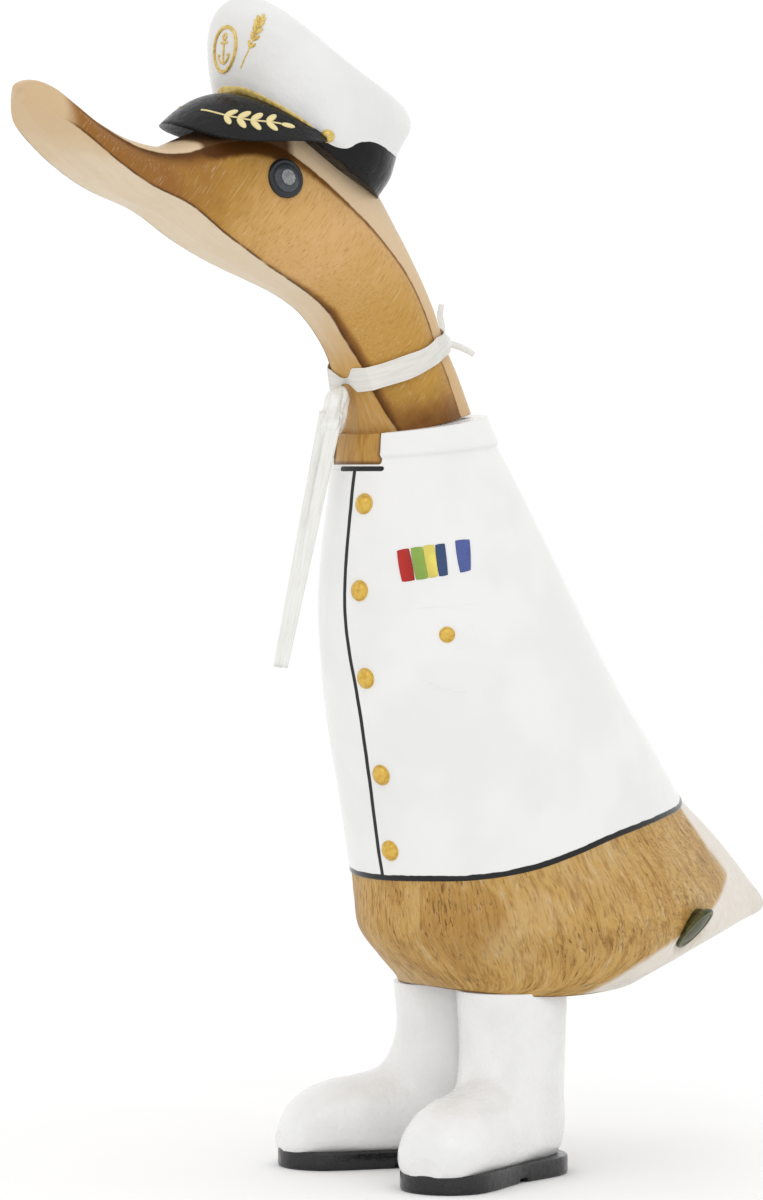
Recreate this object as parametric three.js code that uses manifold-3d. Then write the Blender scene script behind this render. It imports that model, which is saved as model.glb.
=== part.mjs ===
// A carved wooden duck dressed as a naval officer, about 300 mm tall, standing on its own two boots.
// Millimetres, +Z up. The duck looks along -Y and its left side is +X.
// The carving is described in its middle plane by cuts: each cut has a front point, a back point and half
// widths, and the skin runs smoothly from one cut to the next.

import * as THREE from "three";
import { mergeVertices } from "three/addons/utils/BufferGeometryUtils.js";
import Module from "manifold-3d";

const wasm = await Module();
wasm.setup();

// Clearances and coats

const GAP = 0.3; // between two pieces that touch
const COAT_STEP = 0.5; // how far the painted coat stands proud of the bare wood
const COLLAR_STEP = 1.3; // how far the stand collar stands proud of the wood
const SLIVER = 0.02; // edges shorter than this are merged away

// How finely each piece is faceted: points round a cut, and rows of faces along a piece
const BODY_SIDES = 36;
const BELOW_HEM_ROWS = 10;
const COAT_ROWS = 9;
const COLLAR_ROWS = 2;
const NECK_ROWS = 32;
const CAP_SIDES = 36;
const CAP_ROWS = 11;
const VISOR_ROWS = 20;
const BOOT_SIDES = 20;
const BOOT_ROWS = 15;
const SOLE_ARC = 10;
const RIBBON_SIDES = 24;
const KNOT_SIDES = 10;
const TAIL_ROWS = 10;
const DISC_SIDES = 16;
const DOME_ROWS = 3;

// Colours, as a photograph of the figure shows them
const WOOD = 0xc39b64;
const WHITE = 0xf3f3f1;
const SLATE = 0x30363c;
const BRONZE = 0x4a4c34;
const GILT = 0xe0b43c;
const IVORY = 0xece6dc;

// The middle of the figure, front to back: the whole group is moved so that this is Y = 0.
const MIDDLE_Y = 9.9;

// The torso from the underside, through the tail's tip and the hem, to the top of the collar. Each cut has
// its front and back points as [Y, Z], its half widths at the front, middle and back, and how square it is.
const oval = (front, back, wide, square = 2) => ({ front, back, wide, square });
const TORSO = [
  oval([14.5, 46.2], [80, 49.4], [29, 30, 18], 2.7),
  oval([11.2, 48.2], [112, 57.4], [35, 32, 7], 2.3),
  oval([4.6, 54.2], [129.6, 62.2], [37, 34.8, 5], 2.1),
  oval([0, 62], [121.8, 71.8], [38.5, 39.5, 14], 2.05),
  oval([-1.2, 69.5], [107.8, 84], [39, 39.5, 24]),
  oval([-1.5, 76.2], [91.5, 96.4], [38.5, 38.5, 32]),
  oval([-5.4, 97], [80, 110], [36.4, 37.3, 35]),
  oval([-9.9, 120], [67.4, 126.5], [34.5, 35, 34]),
  oval([-12.8, 147.4], [53.6, 148.5], [30.5, 31, 31]),
  oval([-11, 173.2], [38.9, 174], [24.5, 25, 25]),
  oval([-9.4, 184], [30.2, 188], [21.5, 21.8, 21], 2.1),
  oval([-8.6, 190], [26.2, 195], [20, 20.2, 19], 2.2),
];
const HEM = 5; // the cut at the coat's hem
const COLLAR_SEAM = 10; // the cut at the foot of the collar

// The neck, head and bill from inside the collar to the bill's tip. Each cut has a flat face in front, or
// below the bill, two sides and a round back: its front and back points, its half widths at the front
// crease, the middle of the side and the back crease, and how far along the cut the two creases are.
const faced = (front, back, wide, crease) => ({ front, back, wide, crease });
const NECK_TO_BILL = [
  faced([-7.2, 189.5], [24.3, 196], [12.8, 16, 13], [0.1, 0.72]),
  faced([-9, 199], [20, 205.5], [8.4, 15.6, 12.5], [0.035, 0.72]),
  faced([-12.5, 207.5], [15.6, 213.5], [6.5, 15.3, 12.4], [0.03, 0.73]),
  faced([-16.7, 213.6], [11.8, 222.7], [5.6, 15.2, 12.6], [0.03, 0.74]),
  faced([-22.2, 220], [6.6, 232.1], [6.2, 15.4, 13], [0.03, 0.74]),
  faced([-29.2, 224.4], [0.4, 242.7], [7, 15.8, 13.4], [0.03, 0.7]),
  faced([-36.8, 227.6], [-8.4, 255.8], [8.6, 16.2, 13.8], [0.03, 0.64]),
  faced([-43.8, 230.4], [-21, 267], [10.3, 16, 13.8], [0.03, 0.63]),
  faced([-50.6, 233.8], [-38, 271.5], [11.8, 15, 12.8], [0.03, 0.71]),
  faced([-58.6, 238.4], [-56, 267.4], [12.6, 14, 11.2], [0.04, 0.78]),
  faced([-68.6, 243.8], [-69, 262.3], [13.4, 13.6, 11], [0.11, 0.76]),
  faced([-79.9, 248.4], [-81.8, 261.8], [14.1, 14.1, 11.6], [0.14, 0.74]),
  faced([-90.7, 254.7], [-93.2, 265.8], [14.2, 14.2, 12.2], [0.1, 0.7]),
  faced([-98.6, 260.4], [-99.8, 269.6], [13.3, 13.4, 12], [0.12, 0.72]),
  faced([-104, 264.2], [-104.4, 273], [10.6, 10.8, 10], [0.14, 0.8]),
  faced([-107, 267.4], [-107, 274.6], [6.7, 6.9, 6.4], [0.2, 0.8]),
  faced([-108.6, 269.4], [-108.4, 274], [2.6, 2.7, 2.4], [0.2, 0.8]),
];

// The cap from its sweatband to the middle of its top. It is bent over the head like a saddle: the sides of
// each cut hang lower than the line from its front to its back by droop.
const CAP = [
  { ...oval([-42, 269.5], [-5.6, 248.2], [17.5, 18.5, 17.5]), droop: 3.5 },
  { ...oval([-44.5, 272.5], [-4, 252.8], [19.5, 20.3, 19.5]), droop: 5 },
  { ...oval([-46.6, 276], [-2.2, 257.5], [21, 22, 21.5]), droop: 6.5 },
  { ...oval([-48.4, 282], [0.8, 262.7], [22.3, 23.4, 23]), droop: 7 },
  { ...oval([-49.4, 289], [3.6, 267.3], [23, 24.4, 24]), droop: 7.5 },
  { ...oval([-48.8, 294.5], [2.4, 271.3], [22.5, 24, 23.5]), droop: 7.5 },
  { ...oval([-46, 297.8], [-1.4, 274.2], [20, 21.2, 20.5]), droop: 6 },
  { ...oval([-42, 298.6], [-8, 275.6], [14.5, 15.4, 14.5]), droop: 3 },
];
const BAND_TOP = 2; // the cut where the crown ends and the band and visor begin

// The visor: its edge is an arc round the cap's front, from one temple to the other.
const VISOR = { wide: 22.5, middleY: -36, reach: 28.6, z: 261.8, tipRise: 4 };
const VISOR_PLATE = { thick: 1.8, belly: 3, inset: 1.4 };
const VISOR_TURN = 0.43 * Math.PI; // how far round the cap the visor runs on each side of the front

// Boots: each is turned out, and its own frame has the shaft's axis at the origin and the toe along -Y.
// They meet in the middle, so each is cut off at inside from it: room is a size larger than a boot.
const BOOT = { x: 13.2, y: 32, turn: (23 * Math.PI) / 180, inside: 0.2, room: 70 };
const BOOT_UPPER = [
  oval([-14.4, 54], [14.4, 54], [14.4, 14.4, 14.4]),
  oval([-14.2, 44], [14.4, 44], [14.2, 14.2, 14.2]),
  oval([-13.7, 36], [14.2, 33], [13.6, 13.7, 13.7]),
  oval([-15.4, 29.5], [14.4, 19], [13, 13.3, 13.6]),
  oval([-19, 25], [15, 8], [12.4, 13, 14], 2.1),
  oval([-25, 23.2], [10, 2], [12.2, 13, 13.5], 2.3),
  oval([-31.5, 22], [-6, 2], [12, 12.8, 13], 2.5),
  oval([-38, 19.5], [-26, 2], [11, 12.2, 12.4], 2.5),
  oval([-43, 15.2], [-40.2, 2], [8.4, 10, 10.4], 2.4),
  oval([-45.6, 9.4], [-45.2, 3.2], [3.6, 5, 4.4], 2.2),
];
const SOLE = { heel: 14.5, toe: 12.2, length: 33.4, waist: 12, thick: 4.8 };
const SOLE_NOTCH = { from: -17.5, to: -13.5, high: 1.3 }; // the gap in front of the heel

// Domed discs laid on the carving: radius, thickness over all, and how much of it is the upright rim
const EYE = { radius: 5, thick: 1.9, rim: 0.5 };
const STUD = { radius: 6.6, thick: 1.9, rim: 1 };
const COAT_BUTTON = { radius: 2.5, thick: 1.7, rim: 0.4 };
const POCKET_BUTTON = { radius: 2.1, thick: 1.4, rim: 0.3 };

// Where they lie: [X, Z] of those laid on from the front, and a point and a direction inwards of the others
const COAT_BUTTONS = [
  [6.6, 172.3],
  [7, 150.4],
  [7.3, 128.2],
  [7.9, 103.6],
  [6.9, 84.2],
];
const POCKET_BUTTON_AT = [26.2, 139.5];
const AHEAD = 100; // how far in front of the figure the lines that place them start
const EYE_AT = { x: 60, y: -41, z: 252.7 };
const STUD_AT = { from: [76.9, 91.4, 23.9], inwards: [-0.73, -0.25, 0.64] };

// The ribbon tied round the neck, and the end that hangs from its knot
const RIBBON = [
  faced([-9.4, 200.8], [16.3, 212.2], [8.3, 15.5, 12.5], [0.03, 0.72]),
  faced([-11.3, 206.6], [14.2, 217], [7, 15.4, 12.5], [0.03, 0.72]),
];
const RIBBON_THICK = 1;
const NECK_TOP = 4; // the neck's cut that is clear above the ribbon
const THROAT_KNOT = { centre: [-1, -13.2, 197.5], radii: [3, 3.5, 5.2] };
const NAPE_KNOT = { centre: [1, 18.6, 214.8], radii: [2.6, 2.6, 3.2] };
const RIBBON_TAIL = { top: [0, -15.6, 192.4], bottom: [-6, -26.6, 132.8], wide: 5.2, thick: 1 };

// Smooth value of a list at place t, where whole numbers are the list's own entries.
function smooth(list, t) {
  const i = Math.min(Math.max(Math.floor(t), 0), list.length - 2);
  const f = t - i;
  const at = (k) => list[Math.min(Math.max(k, 0), list.length - 1)];
  const [a, b, c, d] = [at(i - 1), at(i), at(i + 1), at(i + 2)];
  return b + 0.5 * f * (c - a + f * (2 * a - 5 * b + 4 * c - d + f * (3 * (b - c) + d - a)));
}

// The cut at place t of a list of cuts, grown outwards all round by grow.
function cutAt(cuts, t, grow = 0) {
  const column = (key, k) => cuts.map((cut) => [].concat(cut[key])[k]);
  const values = (key) => [].concat(cuts[0][key]).map((_, k) => smooth(column(key, k), t));
  const [front, back] = [values("front"), values("back")];
  const long = Math.hypot(back[0] - front[0], back[1] - front[1]);
  const step = [0, 1].map((k) => (grow * (back[k] - front[k])) / long);
  return {
    front: front.map((v, k) => v - step[k]),
    back: back.map((v, k) => v + step[k]),
    wide: values("wide").map((v) => v + grow),
    square: cuts[0].square === undefined ? null : values("square")[0],
    crease: cuts[0].crease === undefined ? null : values("crease"),
    droop: cuts[0].droop === undefined ? 0 : values("droop")[0],
  };
}

// Value at s of the parabola through (s0, a), (s1, b) and (s2, c).
function parabola(s, [s0, s1, s2], [a, b, c]) {
  const part = (v, p, q, r) => (v * (s - q) * (s - r)) / ((p - q) * (p - r));
  return part(a, s0, s1, s2) + part(b, s1, s0, s2) + part(c, s2, s0, s1);
}

// Points of the half outline of an oval cut, from its front to its back, as [half width, share of the way].
function ovalHalf({ wide, square }, steps) {
  const bend = (v) => Math.sign(v) * Math.abs(v) ** (2 / square);
  return Array.from({ length: steps + 1 }, (_, k) => {
    const angle = (Math.PI * k) / steps;
    const s = (1 - bend(Math.cos(angle))) / 2;
    return [parabola(s, [0, 0.5, 1], wide) * Math.abs(bend(Math.sin(angle))), s];
  });
}

// The same for a faced cut: a sixth of the steps on the face, half on the side and a third on the back.
function facedHalf({ wide, crease: [low, high] }, steps) {
  const [face, side] = [steps / 6, steps / 2];
  return Array.from({ length: steps + 1 }, (_, k) => {
    if (k <= face) return [(wide[0] * k) / face, (low * k) / face];
    if (k <= face + side) {
      const s = low + ((high - low) * (k - face)) / side;
      return [parabola(s, [low, (low + high) / 2, high], wide), s];
    }
    const angle = ((Math.PI / 2) * (k - face - side)) / (steps - face - side);
    return [wide[2] * Math.cos(angle), high + (1 - high) * Math.sin(angle)];
  });
}

// The outline of a cut: points all round it, from its front point towards +X.
function ring(section, sides) {
  const { front, back, wide, droop } = section;
  const half = section.crease ? facedHalf(section, sides / 2) : ovalHalf(section, sides / 2);
  const place = ([x, s], turn) =>
    new THREE.Vector3(
      turn * x,
      front[0] + s * (back[0] - front[0]),
      front[1] + s * (back[1] - front[1]) - droop * (x / wide[1]) ** 2,
    );
  const near = half.map((p) => place(p, 1));
  const far = half.slice(1, -1).map((p) => place(p, -1));
  return [...near, ...far.reverse()];
}

// A closed skin over rings of the same number of points, with each end drawn together to its middle.
function skin(rings) {
  const sides = rings[0].length;
  const middle = (points) => points.reduce((sum, p) => sum.add(p), new THREE.Vector3()).divideScalar(sides);
  const points = [...rings.flat(), middle(rings[0]), middle(rings.at(-1))];
  const [first, last] = [points.length - 2, points.length - 1];
  const top = (rings.length - 1) * sides;
  const faces = [];
  for (let k = 0; k < sides; k += 1) {
    const next = (k + 1) % sides;
    faces.push(first, next, k, last, top + k, top + next);
    for (let row = 0; row < top; row += sides) {
      faces.push(row + k, row + next, row + sides + next);
      faces.push(row + k, row + sides + next, row + sides + k);
    }
  }
  const geometry = new THREE.BufferGeometry().setFromPoints(points);
  geometry.setIndex(faces);
  return geometry;
}

// Evenly spaced places from one cut to another.
function places(from, to, count) {
  return Array.from({ length: count + 1 }, (_, k) => from + ((to - from) * k) / count);
}

// Boolean joins and cuts between closed geometries

function toSolid(geometry) {
  const bare = geometry.clone();
  bare.deleteAttribute("normal");
  bare.deleteAttribute("uv");
  const merged = mergeVertices(bare, 1e-4);
  const vertProperties = new Float32Array(merged.attributes.position.array);
  const triVerts = new Uint32Array(merged.index.array);
  return new wasm.Manifold(new wasm.Mesh({ numProp: 3, vertProperties, triVerts }));
}

function toGeometry(solid) {
  const mesh = solid.simplify(SLIVER).getMesh();
  const geometry = new THREE.BufferGeometry();
  geometry.setAttribute("position", new THREE.BufferAttribute(new Float32Array(mesh.vertProperties), 3));
  geometry.setIndex(Array.from(mesh.triVerts));
  return geometry;
}

const join = (...parts) => toGeometry(parts.map(toSolid).reduce((whole, part) => whole.add(part)));
const cutAway = (geometry, tool) => toGeometry(toSolid(geometry).subtract(toSolid(tool)));

// A domed disc, its front along +Y, reaching a little below Y = 0 so that the carving can cut its back.
function domedDisc({ radius, thick, rim }) {
  const dome = places(0, Math.PI / 2, DOME_ROWS).map(
    (angle) => new THREE.Vector2(radius * Math.cos(angle), rim + (thick - rim) * Math.sin(angle)),
  );
  const axis = (height) => new THREE.Vector2(0, height);
  return new THREE.LatheGeometry(
    [axis(-radius / 2), new THREE.Vector2(radius, -radius / 2), ...dome.slice(0, -1), axis(thick)],
    DISC_SIDES,
  );
}

// A domed disc laid where a line first meets the carving, with its back cut to the carving's surface. Its
// front faces as the surface does, or where square is true, back along the line.
function discOn(carving, disc, from, inwards, square = false) {
  const line = new THREE.Raycaster(new THREE.Vector3(...from), new THREE.Vector3(...inwards).normalize());
  const [{ point, face }] = line.intersectObject(new THREE.Mesh(carving));
  const facing = square ? line.ray.direction.clone().negate() : face.normal;
  const turn = new THREE.Quaternion().setFromUnitVectors(new THREE.Vector3(0, 1, 0), facing);
  const laid = domedDisc(disc).applyQuaternion(turn).translate(...point);
  const clear = facing.clone().multiplyScalar(GAP);
  return cutAway(laid, carving.clone().translate(...clear));
}

// The duck itself: torso, neck, head and bill carved as one

function duckBody() {
  const row = (cuts, grow) => (t) => ring(cutAt(cuts, t, grow), BODY_SIDES);
  return skin([
    ...places(0, HEM, BELOW_HEM_ROWS).map(row(TORSO, 0)),
    ...places(HEM, COLLAR_SEAM, COAT_ROWS).map(row(TORSO, COAT_STEP)),
    ...places(COLLAR_SEAM, TORSO.length - 1, COLLAR_ROWS).map(row(TORSO, COLLAR_STEP)),
    ...places(0, NECK_TO_BILL.length - 1, NECK_ROWS).map(row(NECK_TO_BILL, 0)),
  ]);
}

// The cap: crown, band and visor carved as one, hollowed to sit on the head

function crown() {
  return skin(places(0, CAP.length - 1, CAP_ROWS).map((t) => ring(cutAt(CAP, t), CAP_SIDES)));
}

// A thin curved plate whose rings are its sections, each from inside the crown out to the visor's edge.
function visor() {
  const seat = cutAt(CAP, BAND_TOP, -VISOR_PLATE.inset);
  const middle = (seat.front[0] + seat.back[0]) / 2;
  const rings = places(-VISOR_TURN, VISOR_TURN, VISOR_ROWS).map((turn) => {
    const angle = (turn / VISOR_TURN) * (Math.PI / 2);
    const s = (1 - Math.cos(turn)) / 2;
    const x = seat.wide[1] * Math.sin(turn);
    const y = middle + (seat.front[0] - middle) * Math.cos(turn);
    const z = seat.front[1] + s * (seat.back[1] - seat.front[1]) - seat.droop * Math.sin(turn) ** 2;
    const inner = new THREE.Vector3(x, y, z - VISOR_PLATE.inset);
    const outer = new THREE.Vector3(
      VISOR.wide * Math.sin(angle),
      VISOR.middleY - VISOR.reach * Math.cos(angle),
      VISOR.z + VISOR.tipRise * Math.cos(angle),
    );
    const belly = inner.clone().lerp(outer, 0.5);
    belly.z += VISOR_PLATE.belly * Math.cos(angle);
    const under = (p, share) => p.clone().setZ(p.z - share * VISOR_PLATE.thick);
    return [inner, under(inner, 1), under(belly, 1), under(outer, 0.5), outer, belly];
  });
  return skin(rings);
}

// Boots

function boot(side) {
  const cuts = places(BOOT_UPPER.length - 1, 0, BOOT_ROWS);
  const upper = skin(cuts.map((t) => ring(cutAt(BOOT_UPPER, t), BOOT_SIDES)));
  const outline = new THREE.Shape();
  outline.absarc(0, 0, SOLE.heel, 0, Math.PI, false);
  outline.lineTo(-SOLE.waist, -SOLE.length / 2);
  outline.absarc(0, -SOLE.length, SOLE.toe, Math.PI, 2 * Math.PI, false);
  outline.lineTo(SOLE.waist, -SOLE.length / 2);
  const slab = { depth: SOLE.thick, bevelEnabled: false, curveSegments: SOLE_ARC };
  const sole = new THREE.ExtrudeGeometry(outline, slab);
  const notch = new THREE.BoxGeometry(3 * SOLE.heel, SOLE_NOTCH.to - SOLE_NOTCH.from, 2 * SOLE_NOTCH.high);
  notch.translate(0, (SOLE_NOTCH.from + SOLE_NOTCH.to) / 2, 0);
  const whole = cutAway(join(upper, sole), notch);
  whole.rotateZ(side * BOOT.turn).translate(side * BOOT.x, BOOT.y, 0);
  const otherSide = new THREE.BoxGeometry(BOOT.room, 2 * BOOT.room, 2 * BOOT.room);
  otherSide.translate(side * (BOOT.inside - BOOT.room / 2), BOOT.y, 0);
  return cutAway(whole, otherSide);
}

// The ribbon round the neck: a slanted slab of the neck's outline, hollowed to clear the neck

function ribbonLoop() {
  const slab = skin([0, 0.5, 1].map((t) => ring(cutAt(RIBBON, t, GAP + RIBBON_THICK), RIBBON_SIDES)));
  const neckCuts = places(0, NECK_TOP, NECK_TOP).map((t) => cutAt(NECK_TO_BILL, t, GAP));
  const neck = skin(neckCuts.map((cut) => ring(cut, RIBBON_SIDES)));
  return cutAway(slab, neck);
}

function knot({ centre, radii }) {
  return new THREE.SphereGeometry(1, KNOT_SIDES, KNOT_SIDES - 3).scale(...radii).translate(...centre);
}

function ribbonTail() {
  const top = new THREE.Vector3(...RIBBON_TAIL.top);
  const bottom = new THREE.Vector3(...RIBBON_TAIL.bottom);
  const line = new THREE.CatmullRomCurve3([top, top.clone().lerp(bottom, 0.5), bottom]);
  const [w, t] = [RIBBON_TAIL.wide / 2, RIBBON_TAIL.thick / 2];
  const section = new THREE.Shape([
    new THREE.Vector2(-t, -w),
    new THREE.Vector2(t, -w),
    new THREE.Vector2(t, w),
    new THREE.Vector2(-t, w),
  ]);
  return new THREE.ExtrudeGeometry(section, { steps: TAIL_ROWS, bevelEnabled: false, extrudePath: line });
}

// The figure

const figure = new THREE.Group();
figure.position.y = -MIDDLE_Y;

function add(name, geometry, color, roughness, metalness) {
  const mesh = new THREE.Mesh(geometry, new THREE.MeshStandardMaterial({ color, roughness, metalness }));
  mesh.name = name;
  figure.add(mesh);
  return mesh;
}

const body = duckBody();
add("duck_body", body, WOOD, 0.45, 0);
const raisedHead = body.clone().translate(0, 0, GAP);
add("cap", cutAway(join(crown(), visor()), raisedHead), WHITE, 0.2, 0);
const loweredBody = body.clone().translate(0, 0, -GAP);
for (const [side, name] of [
  [1, "boot_left"],
  [-1, "boot_right"],
]) {
  add(name, cutAway(boot(side), loweredBody), WHITE, 0.2, 0);
}
for (const [side, name] of [
  [1, "eye_left"],
  [-1, "eye_right"],
]) {
  const from = [side * EYE_AT.x, EYE_AT.y, EYE_AT.z];
  add(name, discOn(body, EYE, from, [-side, 0, 0]), SLATE, 0.15, 0);
}
add("tail_stud", discOn(body, STUD, STUD_AT.from, STUD_AT.inwards, true), BRONZE, 0.35, 1);
COAT_BUTTONS.forEach(([x, z], k) => {
  add(`coat_button_${k + 1}`, discOn(body, COAT_BUTTON, [x, -AHEAD, z], [0, 1, 0]), GILT, 0.25, 1);
});
const [pocketX, pocketZ] = POCKET_BUTTON_AT;
add("pocket_button", discOn(body, POCKET_BUTTON, [pocketX, -AHEAD, pocketZ], [0, 1, 0]), GILT, 0.25, 1);
add("neck_ribbon", join(ribbonLoop(), knot(THROAT_KNOT), knot(NAPE_KNOT)), IVORY, 0.6, 0);
add("ribbon_tail", ribbonTail(), IVORY, 0.6, 0);

export default figure;
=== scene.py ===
"""A carved wooden duck dressed as a naval officer, laid out as a Blender add-on.

Run as a script, it loads the CAD frame, makes each piece with its operator and lights the stage.
Sizes are in millimetres, as in the CAD source, until a mesh is made: then they become metres.
The duck looks along -Y and its left side is +X.
"""

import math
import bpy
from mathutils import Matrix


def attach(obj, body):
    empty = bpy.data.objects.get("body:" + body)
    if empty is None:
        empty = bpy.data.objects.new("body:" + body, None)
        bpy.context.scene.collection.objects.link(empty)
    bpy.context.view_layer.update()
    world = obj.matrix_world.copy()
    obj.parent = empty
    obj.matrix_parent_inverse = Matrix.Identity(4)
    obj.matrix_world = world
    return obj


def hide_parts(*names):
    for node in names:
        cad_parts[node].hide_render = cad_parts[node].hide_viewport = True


bl_info = {
    "name": "Carved officer duck",
    "version": (1, 0, 0),
    "blender": (4, 5, 0),
    "location": "3D View > Sidebar > Duck",
    "description": "Makes a carved and painted wooden duck in a naval officer's whites",
    "category": "Add Mesh",
}

import bmesh
import bpy
import numpy as np
from bpy.props import FloatProperty, FloatVectorProperty, PointerProperty
from mathutils import Vector
from mathutils.bvhtree import BVHTree

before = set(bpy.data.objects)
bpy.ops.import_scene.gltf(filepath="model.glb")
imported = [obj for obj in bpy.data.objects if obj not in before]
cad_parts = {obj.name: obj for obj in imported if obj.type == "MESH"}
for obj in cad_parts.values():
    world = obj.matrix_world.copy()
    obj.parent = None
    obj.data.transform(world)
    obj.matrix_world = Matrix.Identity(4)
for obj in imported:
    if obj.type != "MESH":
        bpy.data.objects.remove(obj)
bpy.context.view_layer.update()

MM = 0.001
MIDDLE_Y = 9.9  # the carving's own Y = 0 lies this far in front of the figure's middle
GAP = 0.3  # clearance between pieces that touch
UP = Vector((0, 0, 1))


# Cuts of the carving: front and back points as [Y, Z], half widths at the front, middle and back, and either
# how square an oval cut is and how far its sides droop, or how far along a faced cut its two creases are


def oval(front, back, wide, square=2.0, droop=0.0):
    return {"front": front, "back": back, "wide": wide, "square": [square], "droop": [droop]}


def faced(front, back, wide, crease):
    return {"front": front, "back": back, "wide": wide, "crease": crease}


TORSO = [
    oval([15.6, 47.9], [80, 49.4], [27.6, 30, 18], 2.7, 1.8),
    oval([12.8, 49.4], [112, 57.4], [33.6, 32, 7], 2.3, 1.2),
    oval([5.8, 54.9], [129.6, 62.2], [36, 34.8, 5], 2.1),
    oval([0, 62], [121.8, 71.8], [38.5, 39.5, 14], 2.05),
    oval([-1.2, 69.5], [107.8, 84], [39, 39.5, 24]),
    oval([-1.5, 76.2], [91.5, 96.4], [38.5, 38.5, 32]),
    oval([-5.4, 97], [80, 110], [36.4, 37.3, 35]),
    oval([-9.9, 120], [67.4, 126.5], [34.5, 35, 34]),
    oval([-12.8, 147.4], [53.6, 148.5], [30.5, 31, 31]),
    oval([-11, 173.2], [38.9, 174], [24.5, 25, 25]),
    oval([-9.4, 184], [30.2, 188], [21.5, 21.8, 21], 2.1),
    oval([-8.6, 190], [26.2, 195], [20, 20.2, 19], 2.2),
]
HEM = 5
HEM_EDGE = [0, -0.11, -0.12, -0.04, 0.03, 0.02, -0.03, -0.11, -0.08]  # how far the hem strays from its cut
COLLAR_SEAM = 10
FAR = 9  # a distance past which the materials show nothing
TORSO_RADIUS = 38.0  # of the cylinder that the torso's grain is drawn on
# The lower wood is paler below this line, and towards the tail within PALE_BACK's edge.
LOW_REAR_EDGE = [[30, 42], [44, 47.4], [56, 53.6], [69, 59.4], [89.4, 67.4], [99.9, 73.1], [110, 84]]  # [Y, Z]
PALE_BACK = [[66, 20], [84, 22.5], [90, 22.5], [96, 20.3], [100.5, 18.7], [106, 17]]  # [Y, X] of its edge
STAIN = {"centre": [13, 65], "radius": 17}  # the brown stain on the side of the lower wood, in [Y, Z]
TAIL_MOTTLE = [25, 75]  # Y where the mottling of the lower wood begins and is full
# The dark line where the wood meets the boots is painted shade between the wood and the boots.
BOOT_JOINT_SHADE = {"dark": 0.4, "clear": 1.1, "back": [44, 50]}  # the dark line where the wood meets the boots
FRONT_Y = 22  # what is painted on the front lies ahead of this

NECK_TO_BILL = [
    faced([-7.2, 189.5], [24.3, 196], [12.8, 16, 13], [0.1, 0.72]),
    faced([-9, 199], [20, 205.5], [8.4, 15.6, 12.5], [0.035, 0.72]),
    faced([-12.5, 207.5], [15.6, 213.5], [6.5, 15.3, 12.4], [0.03, 0.73]),
    faced([-16.7, 213.6], [11.8, 222.7], [5.6, 15.2, 12.6], [0.03, 0.74]),
    faced([-22.2, 220], [6.6, 232.1], [6.2, 15.4, 13], [0.03, 0.74]),
    faced([-29.2, 224.4], [0.4, 242.7], [7, 15.8, 13.4], [0.03, 0.7]),
    faced([-36.8, 227.6], [-8.4, 255.8], [8.6, 16.2, 13.8], [0.03, 0.64]),
    faced([-43.8, 230.4], [-21, 267], [10.3, 16, 13.8], [0.03, 0.63]),
    faced([-50.6, 233.8], [-38, 271.5], [11.8, 15, 12.8], [0.03, 0.71]),
    faced([-58.6, 238.4], [-56, 264.7], [12.6, 14, 11.2], [0.04, 0.861]),
    faced([-68.6, 243.8], [-69, 260.1], [13.4, 13.6, 11], [0.11, 0.863]),
    faced([-79.9, 247.4], [-81.8, 261.6], [14.1, 14.1, 11.6], [0.17, 0.755]),
    faced([-90.7, 254.7], [-93.2, 265.8], [14.2, 14.2, 12.2], [0.1, 0.7]),
    faced([-98.6, 260.4], [-99.8, 269.6], [13.3, 13.4, 12], [0.12, 0.72]),
    faced([-104, 264.2], [-104.4, 273], [10.6, 10.8, 10], [0.14, 0.8]),
    faced([-107, 267.4], [-107, 274.6], [6.7, 6.9, 6.4], [0.2, 0.8]),
    faced([-108.6, 269.4], [-108.4, 274], [2.6, 2.7, 2.4], [0.2, 0.8]),
]
HEAD_RADIUS = 14.0
VISOR_SHADOW_AND_STAIN = [-66, -59, -43, -34]  # Y where the dark band under the visor, stain with the visor's shadow painted into it, begins, is full, fades and ends
BEHIND_TIP = [13.1, 13.9]  # cuts between which the stained sides give way to the bill's pale tip
# Darkening beside the head's creases, by the cut: how many millimetres it reaches and how strong it is. It is
# scorching, with painted shade beside the neck's front crease and painted shadow of the visor along the top
# of the sides under it
FRONT_SCORCH_AND_SHADE = {
    "reach": ([3, 5, 7], [4.2, 2.8, 1.6]),
    "burn": ([0, 4, 6.5, 8, 10, 12.5], [1.1, 1.0, 0.45, 0.35, 0.5, 0.5]),
}
BACK_SCORCH_AND_SHADE = {
    "reach": ([3, 6, 7.5, 9, 11, 13], [1.8, 2.2, 3.6, 6.5, 4.5, 3.5]),
    "burn": ([0, 3, 6, 7.5, 9, 12, 13.5], [0.6, 0.85, 0.8, 1.0, 1.2, 0.95, 0.5]),
}

CAP = [
    oval([-42, 269.5], [-5.6, 248.2], [17.5, 18.5, 17.5], droop=3.5),
    oval([-44.5, 272.5], [-4, 252.8], [19.5, 20.3, 19.5], droop=5),
    oval([-46.6, 276], [-2.2, 257.5], [21, 22, 21.5], droop=6.5),
    oval([-48.4, 282], [0.8, 262.7], [22.3, 23.4, 23], droop=7),
    oval([-49.4, 289], [3.6, 267.3], [23, 24.4, 24], droop=7.5),
    oval([-48.8, 294.5], [2.4, 271.3], [22.5, 24, 23.5], droop=7.5),
    oval([-46, 297.8], [-1.4, 274.2], [20, 21.2, 20.5], droop=6),
    oval([-42, 298.6], [-8, 275.6], [14.5, 15.4, 14.5], droop=3),
]
BAND_TOP = 2
# The crown's lower edge, as a cut, front to back
BAND_EDGE = [2, 1.86, 1.85, 1.78, 1.66, 1.1, 1.15, 1.6, 2.3, 2.62, 2.7, 2.68, 2.6, 2.52, 2.5, 2.5, 2.5]
BAND_LEAN = 0.9  # how much the edge rises on the right of the front
BAND_ROLL = {"out": 0.9, "high": 9}  # how the black band rolls out from the crown
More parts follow.
